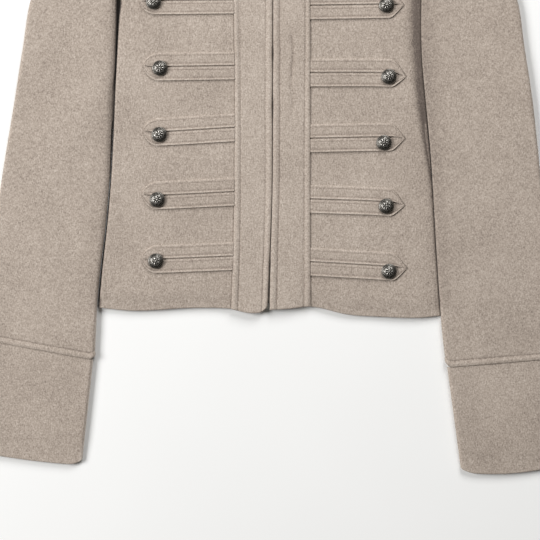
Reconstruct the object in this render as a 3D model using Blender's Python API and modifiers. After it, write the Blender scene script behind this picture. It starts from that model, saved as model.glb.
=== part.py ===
"""Cropped military jacket in wool cloth, zipped up and laid flat on its back.

The sizes below are in millimetres. X runs across the jacket, Y runs up it from the hem,
and Z rises from the surface it lies on. "Right" and "left" are the wearer's: the right
side lies at minus X.
"""
import math
from collections import namedtuple

import bmesh
import bpy

MM = 0.001
NAME = "cropped_military_jacket"

# The part's origin lies under the back panel, this far above the hem
ORIGIN_ABOVE_HEM = 160.0

# Cloth and seams
CLOTH = 2.4
BAND_CLOTH = 2.0
SEAM_GAP = 0.3
FOLD_STEPS = 4
FOLD_STRAIGHT = 0.6
FOLD_LEAN = 0.06
WELD = 0.01

# How high the upper face of each tube lies
BODY_RISE = 8.0
SLEEVE_RISE = 8.6
CUFF_RISE = 7.6
FOLD_FLOOR = 2.9

# Neck, shoulder and armhole
NECK_HALF = 75.0
NECK_FRONT = 408.0
NECK_BACK = 462.0
NECK_SIDE = 480.0
NECK_FRONT_POWER = 1.4
SHOULDER_OUT = 185.0
SHOULDER_TIP = 437.0
SHOULDER_FOLD = 4.0
UNDERARM = 250.0
UNDERARM_EASE = 45.0
HEM_OUT = 205.0
BACK_HEM_LIFT = 2.0

# Cuffs
CUFF_INSET = 2.0
CUFF_GAP = 0.35

# Stand collar
COLLAR_HEIGHT = 40.0
COLLAR_TAPER = 0.06
COLLAR_START = 5.5
COLLAR_GAP = 0.5
COLLAR_FOLD = 4.0
COLLAR_LAP = 1.0
COLLAR_ROWS = 4

# Centre front and zip
FRONT_GAP = 0.8
PLACKET_TOP_GAP = 1.0
TAPE_WIDTH = 13.0
TAPE_CLOTH = 0.9
TAPE_TOP = 5.3
CHAIN_WIDTH = 5.0
CHAIN_CLOTH = 1.6
CHAIN_TOP = 5.2
CHAIN_ENDS = (6.5, 413.5)
TAPE_ENDS = (1.0, 418.0)
STOP_ENDS = (-1.0, 6.2)
STOP_FACES = (3.3, 5.3)

# Zip slider and pull
SLIDER_ENDS = (409.6, 420.6)
SLIDER_WIDTH = 8.4
SLIDER_LOWER = (2.7, 3.3)
SLIDER_UPPER = (5.5, 6.9)
SLIDER_POST_WIDTH = 2.4
SLIDER_POST_ENDS = (415.0, 419.5)
SLIDER_POST_FACES = (3.2, 5.6)
HINGE_UP = 413.0
HINGE_RISE = 11.6
LUG_THICKNESS = 1.6
LUG_HOLE = 1.45
LUG_RADIUS = 2.35
LUG_FOOT = 6.7
PULL_THICKNESS = 1.4
PULL_BAR = 0.8
PULL_NECK_HALF = 3.4
PULL_END_HALF = 2.6
PULL_LENGTH = 27.0
PULL_WINDOW_HALF = 1.1
PULL_WINDOW_LENGTH = 5.0
PULL_CORNER = 1.6

# Tabs and buttons
TAB_HALF = 17.2
TAB_SLIT = 0.6
TAB_POINT = 15.0
TAB_SLIT_STOP = 6.0
TAB_ROOT_GAP = 0.5
BUTTON_RADIUS = 9.2
BUTTON_STEPS = 16
LUG_STEPS = 10

# Where the sections lie, as shares of the way across or up
FRONT_ACROSS = (0.0, 0.03, 0.10, 0.18, 0.26, 0.34, 0.405, 0.46, 0.60, 0.74, 0.88, 1.0)
NECK_SHARE = 0.405
NECK_EASE = 0.08
BODY_UP = (0.0, 0.05, 0.11, 0.20, 0.30, 0.40, 0.48, 0.53, 0.58, 0.63, 0.71, 0.79, 0.87, 0.94, 1.0)
SLEEVE_ACROSS = (0.0, 0.18, 0.36, 0.55, 0.75, 1.0)
PLACKET_ACROSS = (0.0, 0.5, 1.0)
SLEEVE_CAP = (0.0, 0.5, 1.0, 1.5, 2.0, 2.5, 3.0, 3.5, 4.0, 4.5, 5.0)
SLEEVE_ARM = (5.25, 5.5, 6.0, 7.0, 8.0, 8.6, 9.0)
MOST_FOLD = 1 / 3
CUFF_ALONG = (0.0, 0.33, 0.67, 1.0)
SLEEVE_CORNER_SHARE = 0.06
CUFF_CORNER_SHARE = 0.14
CORNER_START = 0.93

# The line down each side of the body: how far out it lies at each height, the clear gap
# from it to the sleeve, and how far each edge takes to round over
SideRow = namedtuple("SideRow", "up out clear body_fold sleeve_fold")
# The hem of each front: how high it lies at each distance from the centre line
HemRow = namedtuple("HemRow", "out up")
# Stations down a sleeve: the height of its inner edge, then the place of its outer edge
SleeveRow = namedtuple("SleeveRow", "inner_up outer_out outer_up")
# Where a sleeve meets its cuff, and where the cuff ends, with how far the inner corner is
# rounded up and how far the end bows down between its corners
SeamRow = namedtuple("SeamRow", "inner_up outer_out outer_up corner")
CuffRow = namedtuple("CuffRow", "inner_out inner_up outer_out outer_up corner bow")
# Tabs: the slit's height at the placket and at the button, the tip and the button.
# A side's strap_full is how far the slanted ends of its tabs bow out
TabRow = namedtuple("TabRow", "root_up end_up tip_out tip_up button_out button_up")
# The front opening, and each placket's outer edge
CentreRow = namedtuple("CentreRow", "up centre right_edge left_edge")
Side = namedtuple("Side", "name sign line hem sleeve seam cuff strap_full tabs")
# Half of a button's outline
ButtonRow = namedtuple("ButtonRow", "out rise")
# One folded edge of a flattened tube: how far it takes to round over, how far it falls, and
# how far its last straight fall leans in
Fold = namedtuple("Fold", "reach drop lean", defaults=(0.0,))

CENTRE = (
    CentreRow(-12.0, -2.8, 47.6, 48.6),
    CentreRow(60.0, -0.6, 45.0, 48.0),
    CentreRow(142.0, 1.4, 43.4, 47.9),
    CentreRow(255.0, 2.5, 42.8, 47.9),
    CentreRow(370.0, 2.8, 44.0, 47.9),
    CentreRow(425.0, 2.8, 44.5, 47.9),
)

RIGHT = Side(
    name="right",
    sign=-1,
    line=(
        SideRow(-70.0, 209.0, 2.8, 4.0, 4.0),
        SideRow(0.0, 205.4, 2.8, 4.0, 4.0),
        SideRow(45.0, 201.2, 2.9, 4.0, 4.0),
        SideRow(100.0, 195.8, 3.0, 4.0, 4.0),
        SideRow(155.0, 191.4, 2.5, 4.0, 4.0),
        SideRow(215.0, 188.0, 1.6, 3.6, 3.6),
        SideRow(250.0, 186.6, 0.3, 3.0, 3.0),
        SideRow(300.0, 185.0, 0.3, 2.8, 2.8),
        SideRow(370.0, 182.0, 0.3, 2.8, 2.8),
        SideRow(445.0, 185.4, 0.3, 2.8, 2.8),
    ),
    hem=(
        HemRow(0.0, -4.0),
        HemRow(25.0, -6.0),
        HemRow(52.0, -1.0),
        HemRow(97.0, 0.0),
        HemRow(165.0, -3.5),
        HemRow(206.0, 0.0),
    ),
    sleeve=(
        SleeveRow(434.0, 192.0, 440.5),
        SleeveRow(418.0, 230.0, 432.0),
        SleeveRow(395.0, 263.0, 409.0),
        SleeveRow(368.0, 287.0, 374.0),
        SleeveRow(300.0, 298.2, 310.0),
        SleeveRow(225.0, 309.2, 240.0),
        SleeveRow(154.0, 320.8, 170.0),
        SleeveRow(82.0, 331.0, 100.0),
        SleeveRow(2.0, 340.0, 22.0),
    ),
    seam=SeamRow(-63.0, 348.6, -38.0, 4.0),
    cuff=CuffRow(226.4, -189.0, 352.0, -173.4, 6.0, 2.0),
    strap_full=3.0,
    tabs=(
        TabRow(369.6, 368.4, 157.2, 367.6, 140.0, 367.0),
        TabRow(290.6, 289.4, 153.4, 290.6, 132.5, 287.4),
        TabRow(216.4, 210.9, 153.6, 211.8, 133.2, 207.8),
        TabRow(139.3, 134.9, 154.8, 136.6, 135.7, 129.8),
        TabRow(62.1, 58.4, 155.6, 59.2, 137.4, 56.3),
    ),
)

LEFT = Side(
    name="left",
    sign=1,
    line=(
        SideRow(-75.0, 210.4, 0.4, 3.6, 4.0),
        SideRow(-10.0, 204.2, 0.4, 3.6, 4.0),
        SideRow(60.0, 199.4, 0.4, 3.6, 4.0),
        SideRow(163.0, 193.4, 0.4, 4.0, 4.0),
        SideRow(215.0, 189.2, 0.4, 4.2, 3.6),
        SideRow(250.0, 185.9, 0.3, 5.0, 3.0),
        SideRow(307.0, 181.2, 0.3, 7.5, 2.8),
        SideRow(370.0, 181.0, 0.3, 7.5, 2.8),
        SideRow(445.0, 185.4, 0.3, 5.0, 2.8),
    ),
    hem=(
        HemRow(0.0, -2.4),
        HemRow(23.0, -1.2),
        HemRow(45.0, 1.6),
        HemRow(62.0, 0.0),
        HemRow(95.0, -7.8),
        HemRow(130.0, -10.4),
        HemRow(180.0, -12.0),
        HemRow(206.0, -9.6),
    ),
    sleeve=(
        SleeveRow(434.0, 192.5, 440.5),
        SleeveRow(418.0, 234.0, 433.0),
        SleeveRow(395.0, 270.0, 410.0),
        SleeveRow(368.0, 295.4, 374.0),
        SleeveRow(307.0, 305.6, 312.0),
        SleeveRow(240.0, 315.5, 246.0),
        SleeveRow(163.0, 323.6, 170.0),
        SleeveRow(80.0, 332.0, 88.0),
        SleeveRow(0.0, 339.5, 8.0),
    ),
    seam=SeamRow(-72.0, 346.2, -61.0, 9.0),
    cuff=CuffRow(229.0, -202.0, 357.0, -191.4, 15.0, 1.6),
    strap_full=0.6,
    tabs=(
        TabRow(362.8, 364.2, 160.0, 363.6, 139.1, 362.8),
        TabRow(282.2, 281.6, 162.6, 277.4, 142.0, 277.2),
        TabRow(203.3, 205.0, 161.4, 203.4, 136.0, 198.1),
        TabRow(130.7, 126.7, 161.0, 122.8, 138.8, 122.0),
        TabRow(55.4, 49.4, 163.6, 48.0, 142.1, 43.9),
    ),
)

SIDES = (RIGHT, LEFT)

BUTTON_PROFILE = (
    ButtonRow(0.0, 5.9),
    ButtonRow(3.4, 5.5),
    ButtonRow(6.4, 4.3),
    ButtonRow(8.2, 2.9),
    ButtonRow(BUTTON_RADIUS, 2.0),
    ButtonRow(BUTTON_RADIUS, 1.2),
    ButtonRow(4.0, 0.9),
    ButtonRow(4.0, 0.0),
    ButtonRow(0.0, 0.0),
)

# Colours as linear values
WOOL = (0.44, 0.37, 0.32)
TAPE = (0.12, 0.10, 0.09)
OLD_SILVER = (0.16, 0.15, 0.14)
ZIP_METAL = (0.32, 0.31, 0.29)


# Curves through tables

def lerp(start, end, share):
    """The value a share of the way from start to end."""
    return start + (end - start) * share


def along(rows, key, value, at):
    """A column's value on a smooth curve through a table's rows."""
    keys = [getattr(row, key) for row in rows]
    values = [getattr(row, value) for row in rows]
    return smooth(keys, values, at)


def smooth(keys, values, at):
    """A value on the smooth curve that passes through each key's value."""
    at = min(max(at, min(keys)), max(keys))
    span = 0
    while span < len(keys) - 2 and at > keys[span + 1]:
        span += 1
    slopes = []
    for point in (span, span + 1):
        before = max(point - 1, 0)
        after = min(point + 1, len(keys) - 1)
        slopes.append((values[after] - values[before]) / (keys[after] - keys[before]))
    length = keys[span + 1] - keys[span]
    t = (at - keys[span]) / length
    start = (1 + 2 * t) * (1 - t) ** 2
    end = t * t * (3 - 2 * t)
    leave = t * (1 - t) ** 2 * length
    arrive = t * t * (t - 1) * length
    return values[span] * start + values[span + 1] * end + slopes[0] * leave + slopes[1] * arrive


def ease(at, start, end):
    """A soft step from 0 at start to 1 at end."""
    share = min(max((at - start) / (end - start), 0.0), 1.0)
    return share * share * (3 - 2 * share)


def fold_path(fold):
    """Steps over a folded edge, as how far in from the edge and how far fallen.

    A quarter turn comes first, then a short straight fall, or a flat run where nothing falls.
    """
    straight = min(fold.drop, FOLD_STRAIGHT)
    flat_run = lerp(fold.reach / FOLD_STEPS, fold.lean, straight / FOLD_STRAIGHT)
    width = fold.reach - flat_run
    height = min(width, fold.drop - straight)
    path = []
    for step in range(FOLD_STEPS):
        turn = step / (FOLD_STEPS - 1) * math.pi / 2
        path.append((flat_run + width * (1 - math.sin(turn)), height * (1 - math.cos(turn))))
    path.append((0.0, fold.drop))
    return path


# The body's plan

def side_out(side, up):
    """How far out the side line lies."""
    return along(side.line, "up", "out", up)


def centre_x(up):
    """Where the front opening lies."""
    return along(CENTRE, "up", "centre", up)


def placket_out(side, up):
    """How far out a placket's outer edge lies."""
    return along(CENTRE, "up", side.name + "_edge", up)


def hem_up(side, out):
    """How high a front's hem lies."""
    return along(side.hem, "out", "up", out)


def shoulder_up(out):
    """The shoulder line from the neck point to its tip."""
    share = (out - NECK_HALF) / (SHOULDER_OUT - NECK_HALF)
    return lerp(NECK_SIDE, SHOULDER_TIP, share)


def front_top(out):
    """The front's upper edge: the neckline, then the shoulder."""
    if out > NECK_HALF:
        return shoulder_up(out)
    return lerp(NECK_FRONT, NECK_SIDE, (out / NECK_HALF) ** NECK_FRONT_POWER)


def back_top(out):
    """The back's upper edge: a shallow neckline, then the shoulder."""
    if out > NECK_HALF:
        return shoulder_up(out)
    return lerp(NECK_BACK, NECK_SIDE, (out / NECK_HALF) ** 2)


def armhole_open(up, upper):
    """How far the folded edge has opened into the sleeve: 0 at the side, 1 at the armhole."""
    start = UNDERARM if upper else UNDERARM - UNDERARM_EASE
    return ease(up, start, start + UNDERARM_EASE)


def side_fold(side, column, up, rise, upper):
    """The folded edge of the body or a sleeve where the two lie side by side."""
    closed_drop = rise / 2 - SEAM_GAP / 2
    open_drop = rise - FOLD_FLOOR if upper else 0.0
    reach = along(side.line, "up", column, up)
    opened = armhole_open(up, upper)
    return Fold(reach, lerp(closed_drop, open_drop, opened), FOLD_LEAN * opened)


def body_fold(side, up, upper):
    """The body's folded side."""
    return side_fold(side, "body_fold", up, BODY_RISE, upper)


def body_out(side, share, up, upper):
    """How far out a share of the way from the centre to the folded side lies."""
    middle = centre_x(up) * side.sign + FRONT_GAP if upper else 0.0
    edge = side_out(side, up) - body_fold(side, up, upper).reach
    return lerp(middle, edge, share)


def body_rows(side, upper):
    """Rows of points on half of the body, from the centre out to the folded side."""
    top = front_top if upper else back_top
    lift = 0.0 if upper else BACK_HEM_LIFT
    shoulder = fold_path(Fold(SHOULDER_FOLD, BODY_RISE - FOLD_FLOOR if upper else 0.0, FOLD_LEAN))
    turns = range(1, FOLD_STEPS + 1)
    stations = [(up, 0) for up in BODY_UP] + [(1.0, step) for step in turns]
    columns = [(share, 0) for share in FRONT_ACROSS] + [(1.0, bend) for bend in turns]
    rows = []
    for up, step in stations:
        row = []
        for share, bend in columns:
            weight = min(max((share - NECK_SHARE) / NECK_EASE, 0.0), 1.0)
            inset = lerp(SHOULDER_FOLD * (1 - step / FOLD_STEPS), shoulder[step][0], weight)
            fall = shoulder[step][1] * weight
            low = hem_up(side, HEM_OUT * share) + lift
            high = top(SHOULDER_OUT * share) - SHOULDER_FOLD
            y = lerp(low, high, up) + SHOULDER_FOLD - inset
            out = body_out(side, share, y, upper)
            if bend:
                edge_inset, edge_fall = fold_path(body_fold(side, y, upper))[bend]
                out = side_out(side, y) - edge_inset
                fall = max(fall, edge_fall)
            row.append((side.sign * out, y, BODY_RISE - fall if upper else fall))
        rows.append(row)
    return rows


# Tubes: sleeves and cuffs

def tube_section(start, end, rise, folds, upper, shares, lift):
    """One face of a flattened tube, from the fold at start to the fold at end."""
    span = math.dist(start, end)
    near = [(inset, fall) for inset, fall in reversed(fold_path(folds[0]))]
    far = fold_path(folds[1])
    inner = span - folds[0].reach - folds[1].reach
    flat = [(folds[0].reach + inner * share, 0.0) for share in shares[1:-1]]
    steps = near + flat + [(span - inset, fall) for inset, fall in far]
    points = []
    for out, fall in steps:
        share = out / span
        z = rise - fall if upper else fall
        points.append((lerp(start[0], end[0], share), lerp(start[1], end[1], share) + lift(share), z))
    return points


def corner_lift(height, reach, bow=0.0):
    """A rounded inner corner beside a bowed end: the lift at each share of the way across."""
    return lambda share: height * max(0.0, 1 - share / reach) ** 2 - bow * 4 * share * (1 - share)


def sleeve_ends(side, station):
    """The inner and outer edge of a sleeve at a station, and its corner's lift."""
    last = len(side.sleeve)
    seam = side.seam
    keys = list(range(last + 1))
    outer_out = smooth(keys, [row.outer_out for row in side.sleeve] + [seam.outer_out], station)
    outer_up = smooth(keys, [row.outer_up for row in side.sleeve] + [seam.outer_up], station)
    inner_up = smooth(keys, [row.inner_up for row in side.sleeve] + [seam.inner_up], station)
    inner_out = side_out(side, inner_up) + along(side.line, "up", "clear", inner_up)
    corner = seam.corner * ease(station, last * CORNER_START, last)
    return (side.sign * inner_out, inner_up), (side.sign * outer_out, outer_up), corner


def sleeve_rows(side, upper):
    """Rows of points down one face of a sleeve, from the shoulder to the cuff."""
    closed_drop = SLEEVE_RISE / 2 - SEAM_GAP / 2
    rows = []
    for station in SLEEVE_CAP + SLEEVE_ARM:
        start, end, corner = sleeve_ends(side, station)
        most = math.dist(start, end) * MOST_FOLD
        inner = side_fold(side, "sleeve_fold", start[1], SLEEVE_RISE, upper)
        inner = Fold(min(inner.reach, most), inner.drop)
        outer = Fold(min(closed_drop, most), closed_drop)
        lift = corner_lift(corner, SLEEVE_CORNER_SHARE)
        rows.append(tube_section(start, end, SLEEVE_RISE, (inner, outer), upper, SLEEVE_ACROSS, lift))
    return rows


def cuff_rows(side):
    """Rows of points all round a cuff, from the sleeve down to its open end."""
    inner, outer, _ = sleeve_ends(side, len(side.sleeve))
    tuck = CUFF_INSET / math.dist(inner, outer)
    near_top = [lerp(inner[axis], outer[axis], tuck) - CUFF_GAP * axis for axis in (0, 1)]
    far_top = [lerp(outer[axis], inner[axis], tuck) - CUFF_GAP * axis for axis in (0, 1)]
    near_end = (side.sign * side.cuff.inner_out, side.cuff.inner_up)
    far_end = (side.sign * side.cuff.outer_out, side.cuff.outer_up)
    fold = Fold(CUFF_RISE / 2, CUFF_RISE / 2)
    rows = []
    for share in CUFF_ALONG:
        start = [lerp(high, low, share) for high, low in zip(near_top, near_end)]
        end = [lerp(high, low, share) for high, low in zip(far_top, far_end)]
        lift = corner_lift(side.cuff.corner * share, CUFF_CORNER_SHARE, side.cuff.bow * share)
        upper = tube_section(start, end, CUFF_RISE, (fold, fold), True, SLEEVE_ACROSS, lift)
        lower = tube_section(start, end, CUFF_RISE, (fold, fold), False, SLEEVE_ACROSS, lift)
        rows.append(upper + lower[-2:0:-1])
    return rows


# The collar

def neckline(side, upper):
    """The neck edge of a front, or of half the back, as places out and up."""
    top = front_top if upper else back_top
    places = []
    for share in FRONT_ACROSS:
        if share <= NECK_SHARE:
            up = top(SHOULDER_OUT * share)
            places.append((body_out(side, share, up, upper), up))
    return places


def neck_up(places, out):
    """How high the neck edge lies between its places."""
    for (near, low), (far, high) in zip(places, places[1:]):
        if near <= out <= far:
            return lerp(low, high, (out - near) / (far - near))
    return places[-1][1]


def collar_columns(side):
    """Half the collar, from its front end round to the middle of the back."""
    fold = fold_path(Fold(COLLAR_FOLD, BODY_RISE / 2))
    front, back = neckline(side, True), neckline(side, False)
    tip = front[-1][0] + COLLAR_LAP
    beside = tip - COLLAR_FOLD - COLLAR_LAP
    start = centre_x(NECK_FRONT) * side.sign + COLLAR_START
    columns = [(start, neck_up(front, start), BODY_RISE)]
    columns += [(out, up, BODY_RISE) for out, up in front if start + COLLAR_LAP < out < beside]
    columns += [(tip - inset, neck_up(front, tip - inset), BODY_RISE - fall) for inset, fall in fold]
    columns += [(tip - inset, neck_up(back, tip - inset), fall) for inset, fall in reversed(fold[:-1])]
    columns += [(out, up, 0.0) for out, up in reversed(back) if out < beside]
    return [(side.sign * out, up + COLLAR_GAP, rise) for out, up, rise in columns]


def collar_rows():
    """Rows of points up the collar from the neckline."""
    ring = collar_columns(LEFT) + collar_columns(RIGHT)[-2::-1]
    rows = []
    for step in range(COLLAR_ROWS):
        share = step / (COLLAR_ROWS - 1)
        narrow = 1 - COLLAR_TAPER * share
        rows.append([(x * narrow, up + COLLAR_HEIGHT * share, rise) for x, up, rise in ring])
    return rows


# Blender objects

def clear_scene():
    """Start from an empty scene."""
    for item in list(bpy.data.objects):
        bpy.data.objects.remove(item, do_unlink=True)


def new_collection(name):
    """A collection in the scene."""
    made = bpy.data.collections.new(name)
    bpy.context.scene.collection.children.link(made)
    return made


def new_material(name, colour, roughness, metallic):
    """A plain finish."""
    made = bpy.data.materials.new(name)
    made.use_nodes = True
    shader = made.node_tree.nodes["Principled BSDF"]
    shader.inputs["Base Color"].default_value = (*colour, 1.0)
    shader.inputs["Roughness"].default_value = roughness
    shader.inputs["Metallic"].default_value = metallic
    return made


def place(name, data, material, location=(0.0, 0.0, 0.0)):
    """A named object under the jacket's empty, at a place given in millimetres."""
    made = bpy.data.objects.new(name, data)
    made.data.materials.append(material)
    parts.objects.link(made)
    made.parent = jacket
    made.location = [value * MM for value in location]
    return made


def sheet(name, rows, wall, material, outward, ring=False):
    """Cloth from rows of points on its outer face, with its wall on the inner side."""
    if ring:
        rows = [row + row[:1] for row in rows]
    across, up = len(rows[0]), len(rows)
    form = bmesh.new()
    bmesh.ops.create_grid(form, x_segments=across - 1, y_segments=up - 1, size=1.0)
    form.verts.ensure_lookup_table()
    for number, point in enumerate(point for row in rows for point in row):
        form.verts[number].co = [value * MM for value in point]
    if ring:
        bmesh.ops.remove_doubles(form, verts=form.verts, dist=WELD * MM)
    if not outward:
        bmesh.ops.reverse_faces(form, faces=form.faces)
    mesh = bpy.data.meshes.new(name)
    form.to_mesh(mesh)
    form.free()
    mesh.shade_smooth()
    made = place(name, mesh, material)
    thicken = made.modifiers.new("wall", "SOLIDIFY")
    thicken.thickness = wall * MM
    thicken.offset = -1.0
    return made


def outline(name, loops, thickness, material, location, rotation=(0.0, 0.0, 0.0)):
    """A flat piece cut to an outline, with holes where further loops are given."""
    curve = bpy.data.curves.new(name, "CURVE")
    curve.dimensions = "2D"
    curve.fill_mode = "BOTH"
    curve.extrude = thickness / 2 * MM
    for loop in loops:
        spline = curve.splines.new("POLY")
        spline.points.add(len(loop) - 1)
        for point, (x, y) in zip(spline.points, loop):
            point.co = (x * MM, y * MM, 0.0, 1.0)
        spline.use_cyclic_u = True
    made = place(name, curve, material, location)
    made.rotation_euler = rotation
    return made


def block(name, low, high, material):
    """A rectangular piece between two corners."""
    form = bmesh.new()
    bmesh.ops.create_cube(form, size=MM)
    size = [end - start for start, end in zip(low, high)]
    bmesh.ops.scale(form, vec=size, verts=form.verts)
    mesh = bpy.data.meshes.new(name)
    form.to_mesh(mesh)
    form.free()
    middle = [(start + end) / 2 for start, end in zip(low, high)]
    return place(name, mesh, material, middle)


# Pieces of the jacket

def make_body():
    """The back, and the two fronts that lie on it."""
    right, left = body_rows(RIGHT, False), body_rows(LEFT, False)
    rows = [one[::-1] + two[1:] for one, two in zip(right, left)]
    sheet("back", rows, CLOTH, wool, outward=False)
    for side in SIDES:
        sheet("front_" + side.name, body_rows(side, True), CLOTH, wool, outward=side.sign > 0)


def make_sleeves():
    """Each sleeve's upper and under piece, and its cuff."""
    for side in SIDES:
        sheet("sleeve_upper_" + side.name, sleeve_rows(side, True), CLOTH, wool, outward=side.sign < 0)
        sheet("sleeve_under_" + side.name, sleeve_rows(side, False), CLOTH, wool, outward=side.sign > 0)
        sheet("cuff_" + side.name, cuff_rows(side), CLOTH, wool, outward=side.sign < 0, ring=True)


def make_collar():
    """The stand collar, one strip round the neck."""
    sheet("collar", collar_rows(), CLOTH, wool, outward=True)


def make_plackets():
    """A band of cloth applied down each front beside the zip."""
    face = BODY_RISE + SEAM_GAP + BAND_CLOTH
    for side in SIDES:
        rows = []
        for up in BODY_UP:
            row = []
            for share in PLACKET_ACROSS:
                out = lerp(0.0, placket_out(side, 0.0), share)
                y = lerp(hem_up(side, out), front_top(out) - PLACKET_TOP_GAP, up)
                inner = centre_x(y) * side.sign + FRONT_GAP
                row.append((side.sign * lerp(inner, placket_out(side, y), share), y, face))
            rows.append(row)
        sheet("placket_" + side.name, rows, BAND_CLOTH, wool, outward=side.sign > 0)


def strap_root(side, up):
    """A point on the end of a strap that lies beside the placket."""
    return placket_out(side, up) + TAB_ROOT_GAP, up


def slant_middle(side, row, turn):
    """The middle of a strap's slanted end, bowed out: turn is 1 above the tip, -1 below."""
    edge = row.end_up + turn * TAB_HALF
    fall = abs(edge - row.tip_up)
    length = math.hypot(TAB_POINT, fall)
    out = row.tip_out - TAB_POINT / 2 + side.strap_full * fall / length
    up = (edge + row.tip_up) / 2 + turn * side.strap_full * TAB_POINT / length
    return out, up


def make_tabs():
    """Rows of straps folded to a point, each held by a button."""
    lower = BODY_RISE + SEAM_GAP
    middle = lower + BAND_CLOTH / 2
    seat = lower + BAND_CLOTH + SEAM_GAP
    for side in SIDES:
        for number, row in enumerate(side.tabs, start=1):
            shoulder = row.tip_out - TAB_POINT
            stop = row.tip_out - TAB_SLIT_STOP
            half_slit = TAB_SLIT / 2
            loop = (
                strap_root(side, row.root_up + half_slit),
                strap_root(side, row.root_up + TAB_HALF),
                (shoulder, row.end_up + TAB_HALF),
                slant_middle(side, row, 1),
                (row.tip_out, row.tip_up),
                slant_middle(side, row, -1),
                (shoulder, row.end_up - TAB_HALF),
                strap_root(side, row.root_up - TAB_HALF),
                strap_root(side, row.root_up - half_slit),
                (shoulder, row.end_up - half_slit),
                (stop, row.tip_up),
                (shoulder, row.end_up + half_slit),
            )
            points = [(side.sign * out, up) for out, up in loop]
            ending = "_" + side.name + "_" + str(number)
            outline("tab" + ending, [points], BAND_CLOTH, wool, (0.0, 0.0, middle))
            make_button("button" + ending, (side.sign * row.button_out, row.button_up, seat))


def make_button(name, location):
    """A domed button on its foot, turned from half its outline."""
    mesh = bpy.data.meshes.new(name)
    points = [(row.out * MM, 0.0, row.rise * MM) for row in BUTTON_PROFILE]
    edges = [(number, number + 1) for number in range(len(points) - 1)]
    mesh.from_pydata(points, edges, [])
    made = place(name, mesh, old_silver, location)
    turn = made.modifiers.new("turn", "SCREW")
    turn.steps = BUTTON_STEPS
    turn.render_steps = BUTTON_STEPS
    turn.use_merge_vertices = True
    turn.merge_threshold = WELD * MM


def strip(ends, edges, face, sign):
    """Rows of points on a narrow strip that follows the front opening."""
    rows = []
    for up in BODY_UP:
        y = lerp(ends[0], ends[1], up)
        rows.append([(centre_x(y) + sign * out, y, face) for out in edges])
    return rows


def make_zip():
    """The zip's two tapes, its chain and its bottom stop."""
    half = CHAIN_WIDTH / 2
    inner = half + SEAM_GAP
    for side in SIDES:
        rows = strip(TAPE_ENDS, (inner, inner + TAPE_WIDTH), TAPE_TOP, side.sign)
        sheet("zip_tape_" + side.name, rows, TAPE_CLOTH, tape, outward=side.sign > 0)
    rows = strip(CHAIN_ENDS, (-half, half), CHAIN_TOP, 1)
    sheet("zip_chain", rows, CHAIN_CLOTH, zip_metal, outward=True)
    middle = centre_x(0.0)
    low = (middle - half, STOP_ENDS[0], STOP_FACES[0])
    high = (middle + half, STOP_ENDS[1], STOP_FACES[1])
    block("zip_stop", low, high, zip_metal)


def lug_loops():
    """The slider's lug, seen along the hinge: a rounded ear with a hole."""
    ear = [(LUG_RADIUS, LUG_FOOT - HINGE_RISE)]
    for step in range(LUG_STEPS + 1):
        turn = math.pi * step / LUG_STEPS
        ear.append((LUG_RADIUS * math.cos(turn), LUG_RADIUS * math.sin(turn)))
    ear.append((-LUG_RADIUS, LUG_FOOT - HINGE_RISE))
    hole = []
    for step in range(LUG_STEPS + 2):
        turn = 2 * math.pi * step / (LUG_STEPS + 2)
        hole.append((LUG_HOLE * math.cos(turn), LUG_HOLE * math.sin(turn)))
    return [ear, hole]


def as_mesh(curve):
    """The same piece as a closed mesh, in the curve's place."""
    bpy.context.view_layer.update()
    graph = bpy.context.evaluated_depsgraph_get()
    mesh = bpy.data.meshes.new_from_object(curve.evaluated_get(graph))
    form = bmesh.new()
    form.from_mesh(mesh)
    bmesh.ops.remove_doubles(form, verts=form.verts, dist=WELD * MM)
    bmesh.ops.recalc_face_normals(form, faces=form.faces)
    form.to_mesh(mesh)
    form.free()
    made = bpy.data.objects.new(curve.name + "_mesh", mesh)
    made.matrix_world = curve.matrix_world
    bpy.data.objects.remove(curve, do_unlink=True)
    return made


def join_to(base, piece):
    """Join a piece into its base, keeping the piece as a guide."""
    cutters.objects.link(piece)
    piece.hide_render = True
    piece.display_type = "WIRE"
    union = base.modifiers.new(piece.name, "BOOLEAN")
    union.operation = "UNION"
    union.object = piece


def make_slider():
    """The slider at the top of the zip: two plates, the post between them and the lug."""
    middle = centre_x(HINGE_UP)
    half, post = SLIDER_WIDTH / 2, SLIDER_POST_WIDTH / 2
    slider = block(
        "zip_slider",
        (middle - half, SLIDER_ENDS[0], SLIDER_UPPER[0]),
        (middle + half, SLIDER_ENDS[1], SLIDER_UPPER[1]),
        zip_metal,
    )
    under = block(
        "slider_under",
        (middle - half, SLIDER_ENDS[0], SLIDER_LOWER[0]),
        (middle + half, SLIDER_ENDS[1], SLIDER_LOWER[1]),
        zip_metal,
    )
    pillar = block(
        "slider_post",
        (middle - post, SLIDER_POST_ENDS[0], SLIDER_POST_FACES[0]),
        (middle + post, SLIDER_POST_ENDS[1], SLIDER_POST_FACES[1]),
        zip_metal,
    )
    upright = (math.pi / 2, 0.0, math.pi / 2)
    hinge = (middle, HINGE_UP, HINGE_RISE)
    lug = outline("slider_lug", lug_loops(), LUG_THICKNESS, zip_metal, hinge, upright)
    for piece in (pillar, under):
        parts.objects.unlink(piece)
        join_to(slider, piece)
    join_to(slider, as_mesh(lug))


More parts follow.
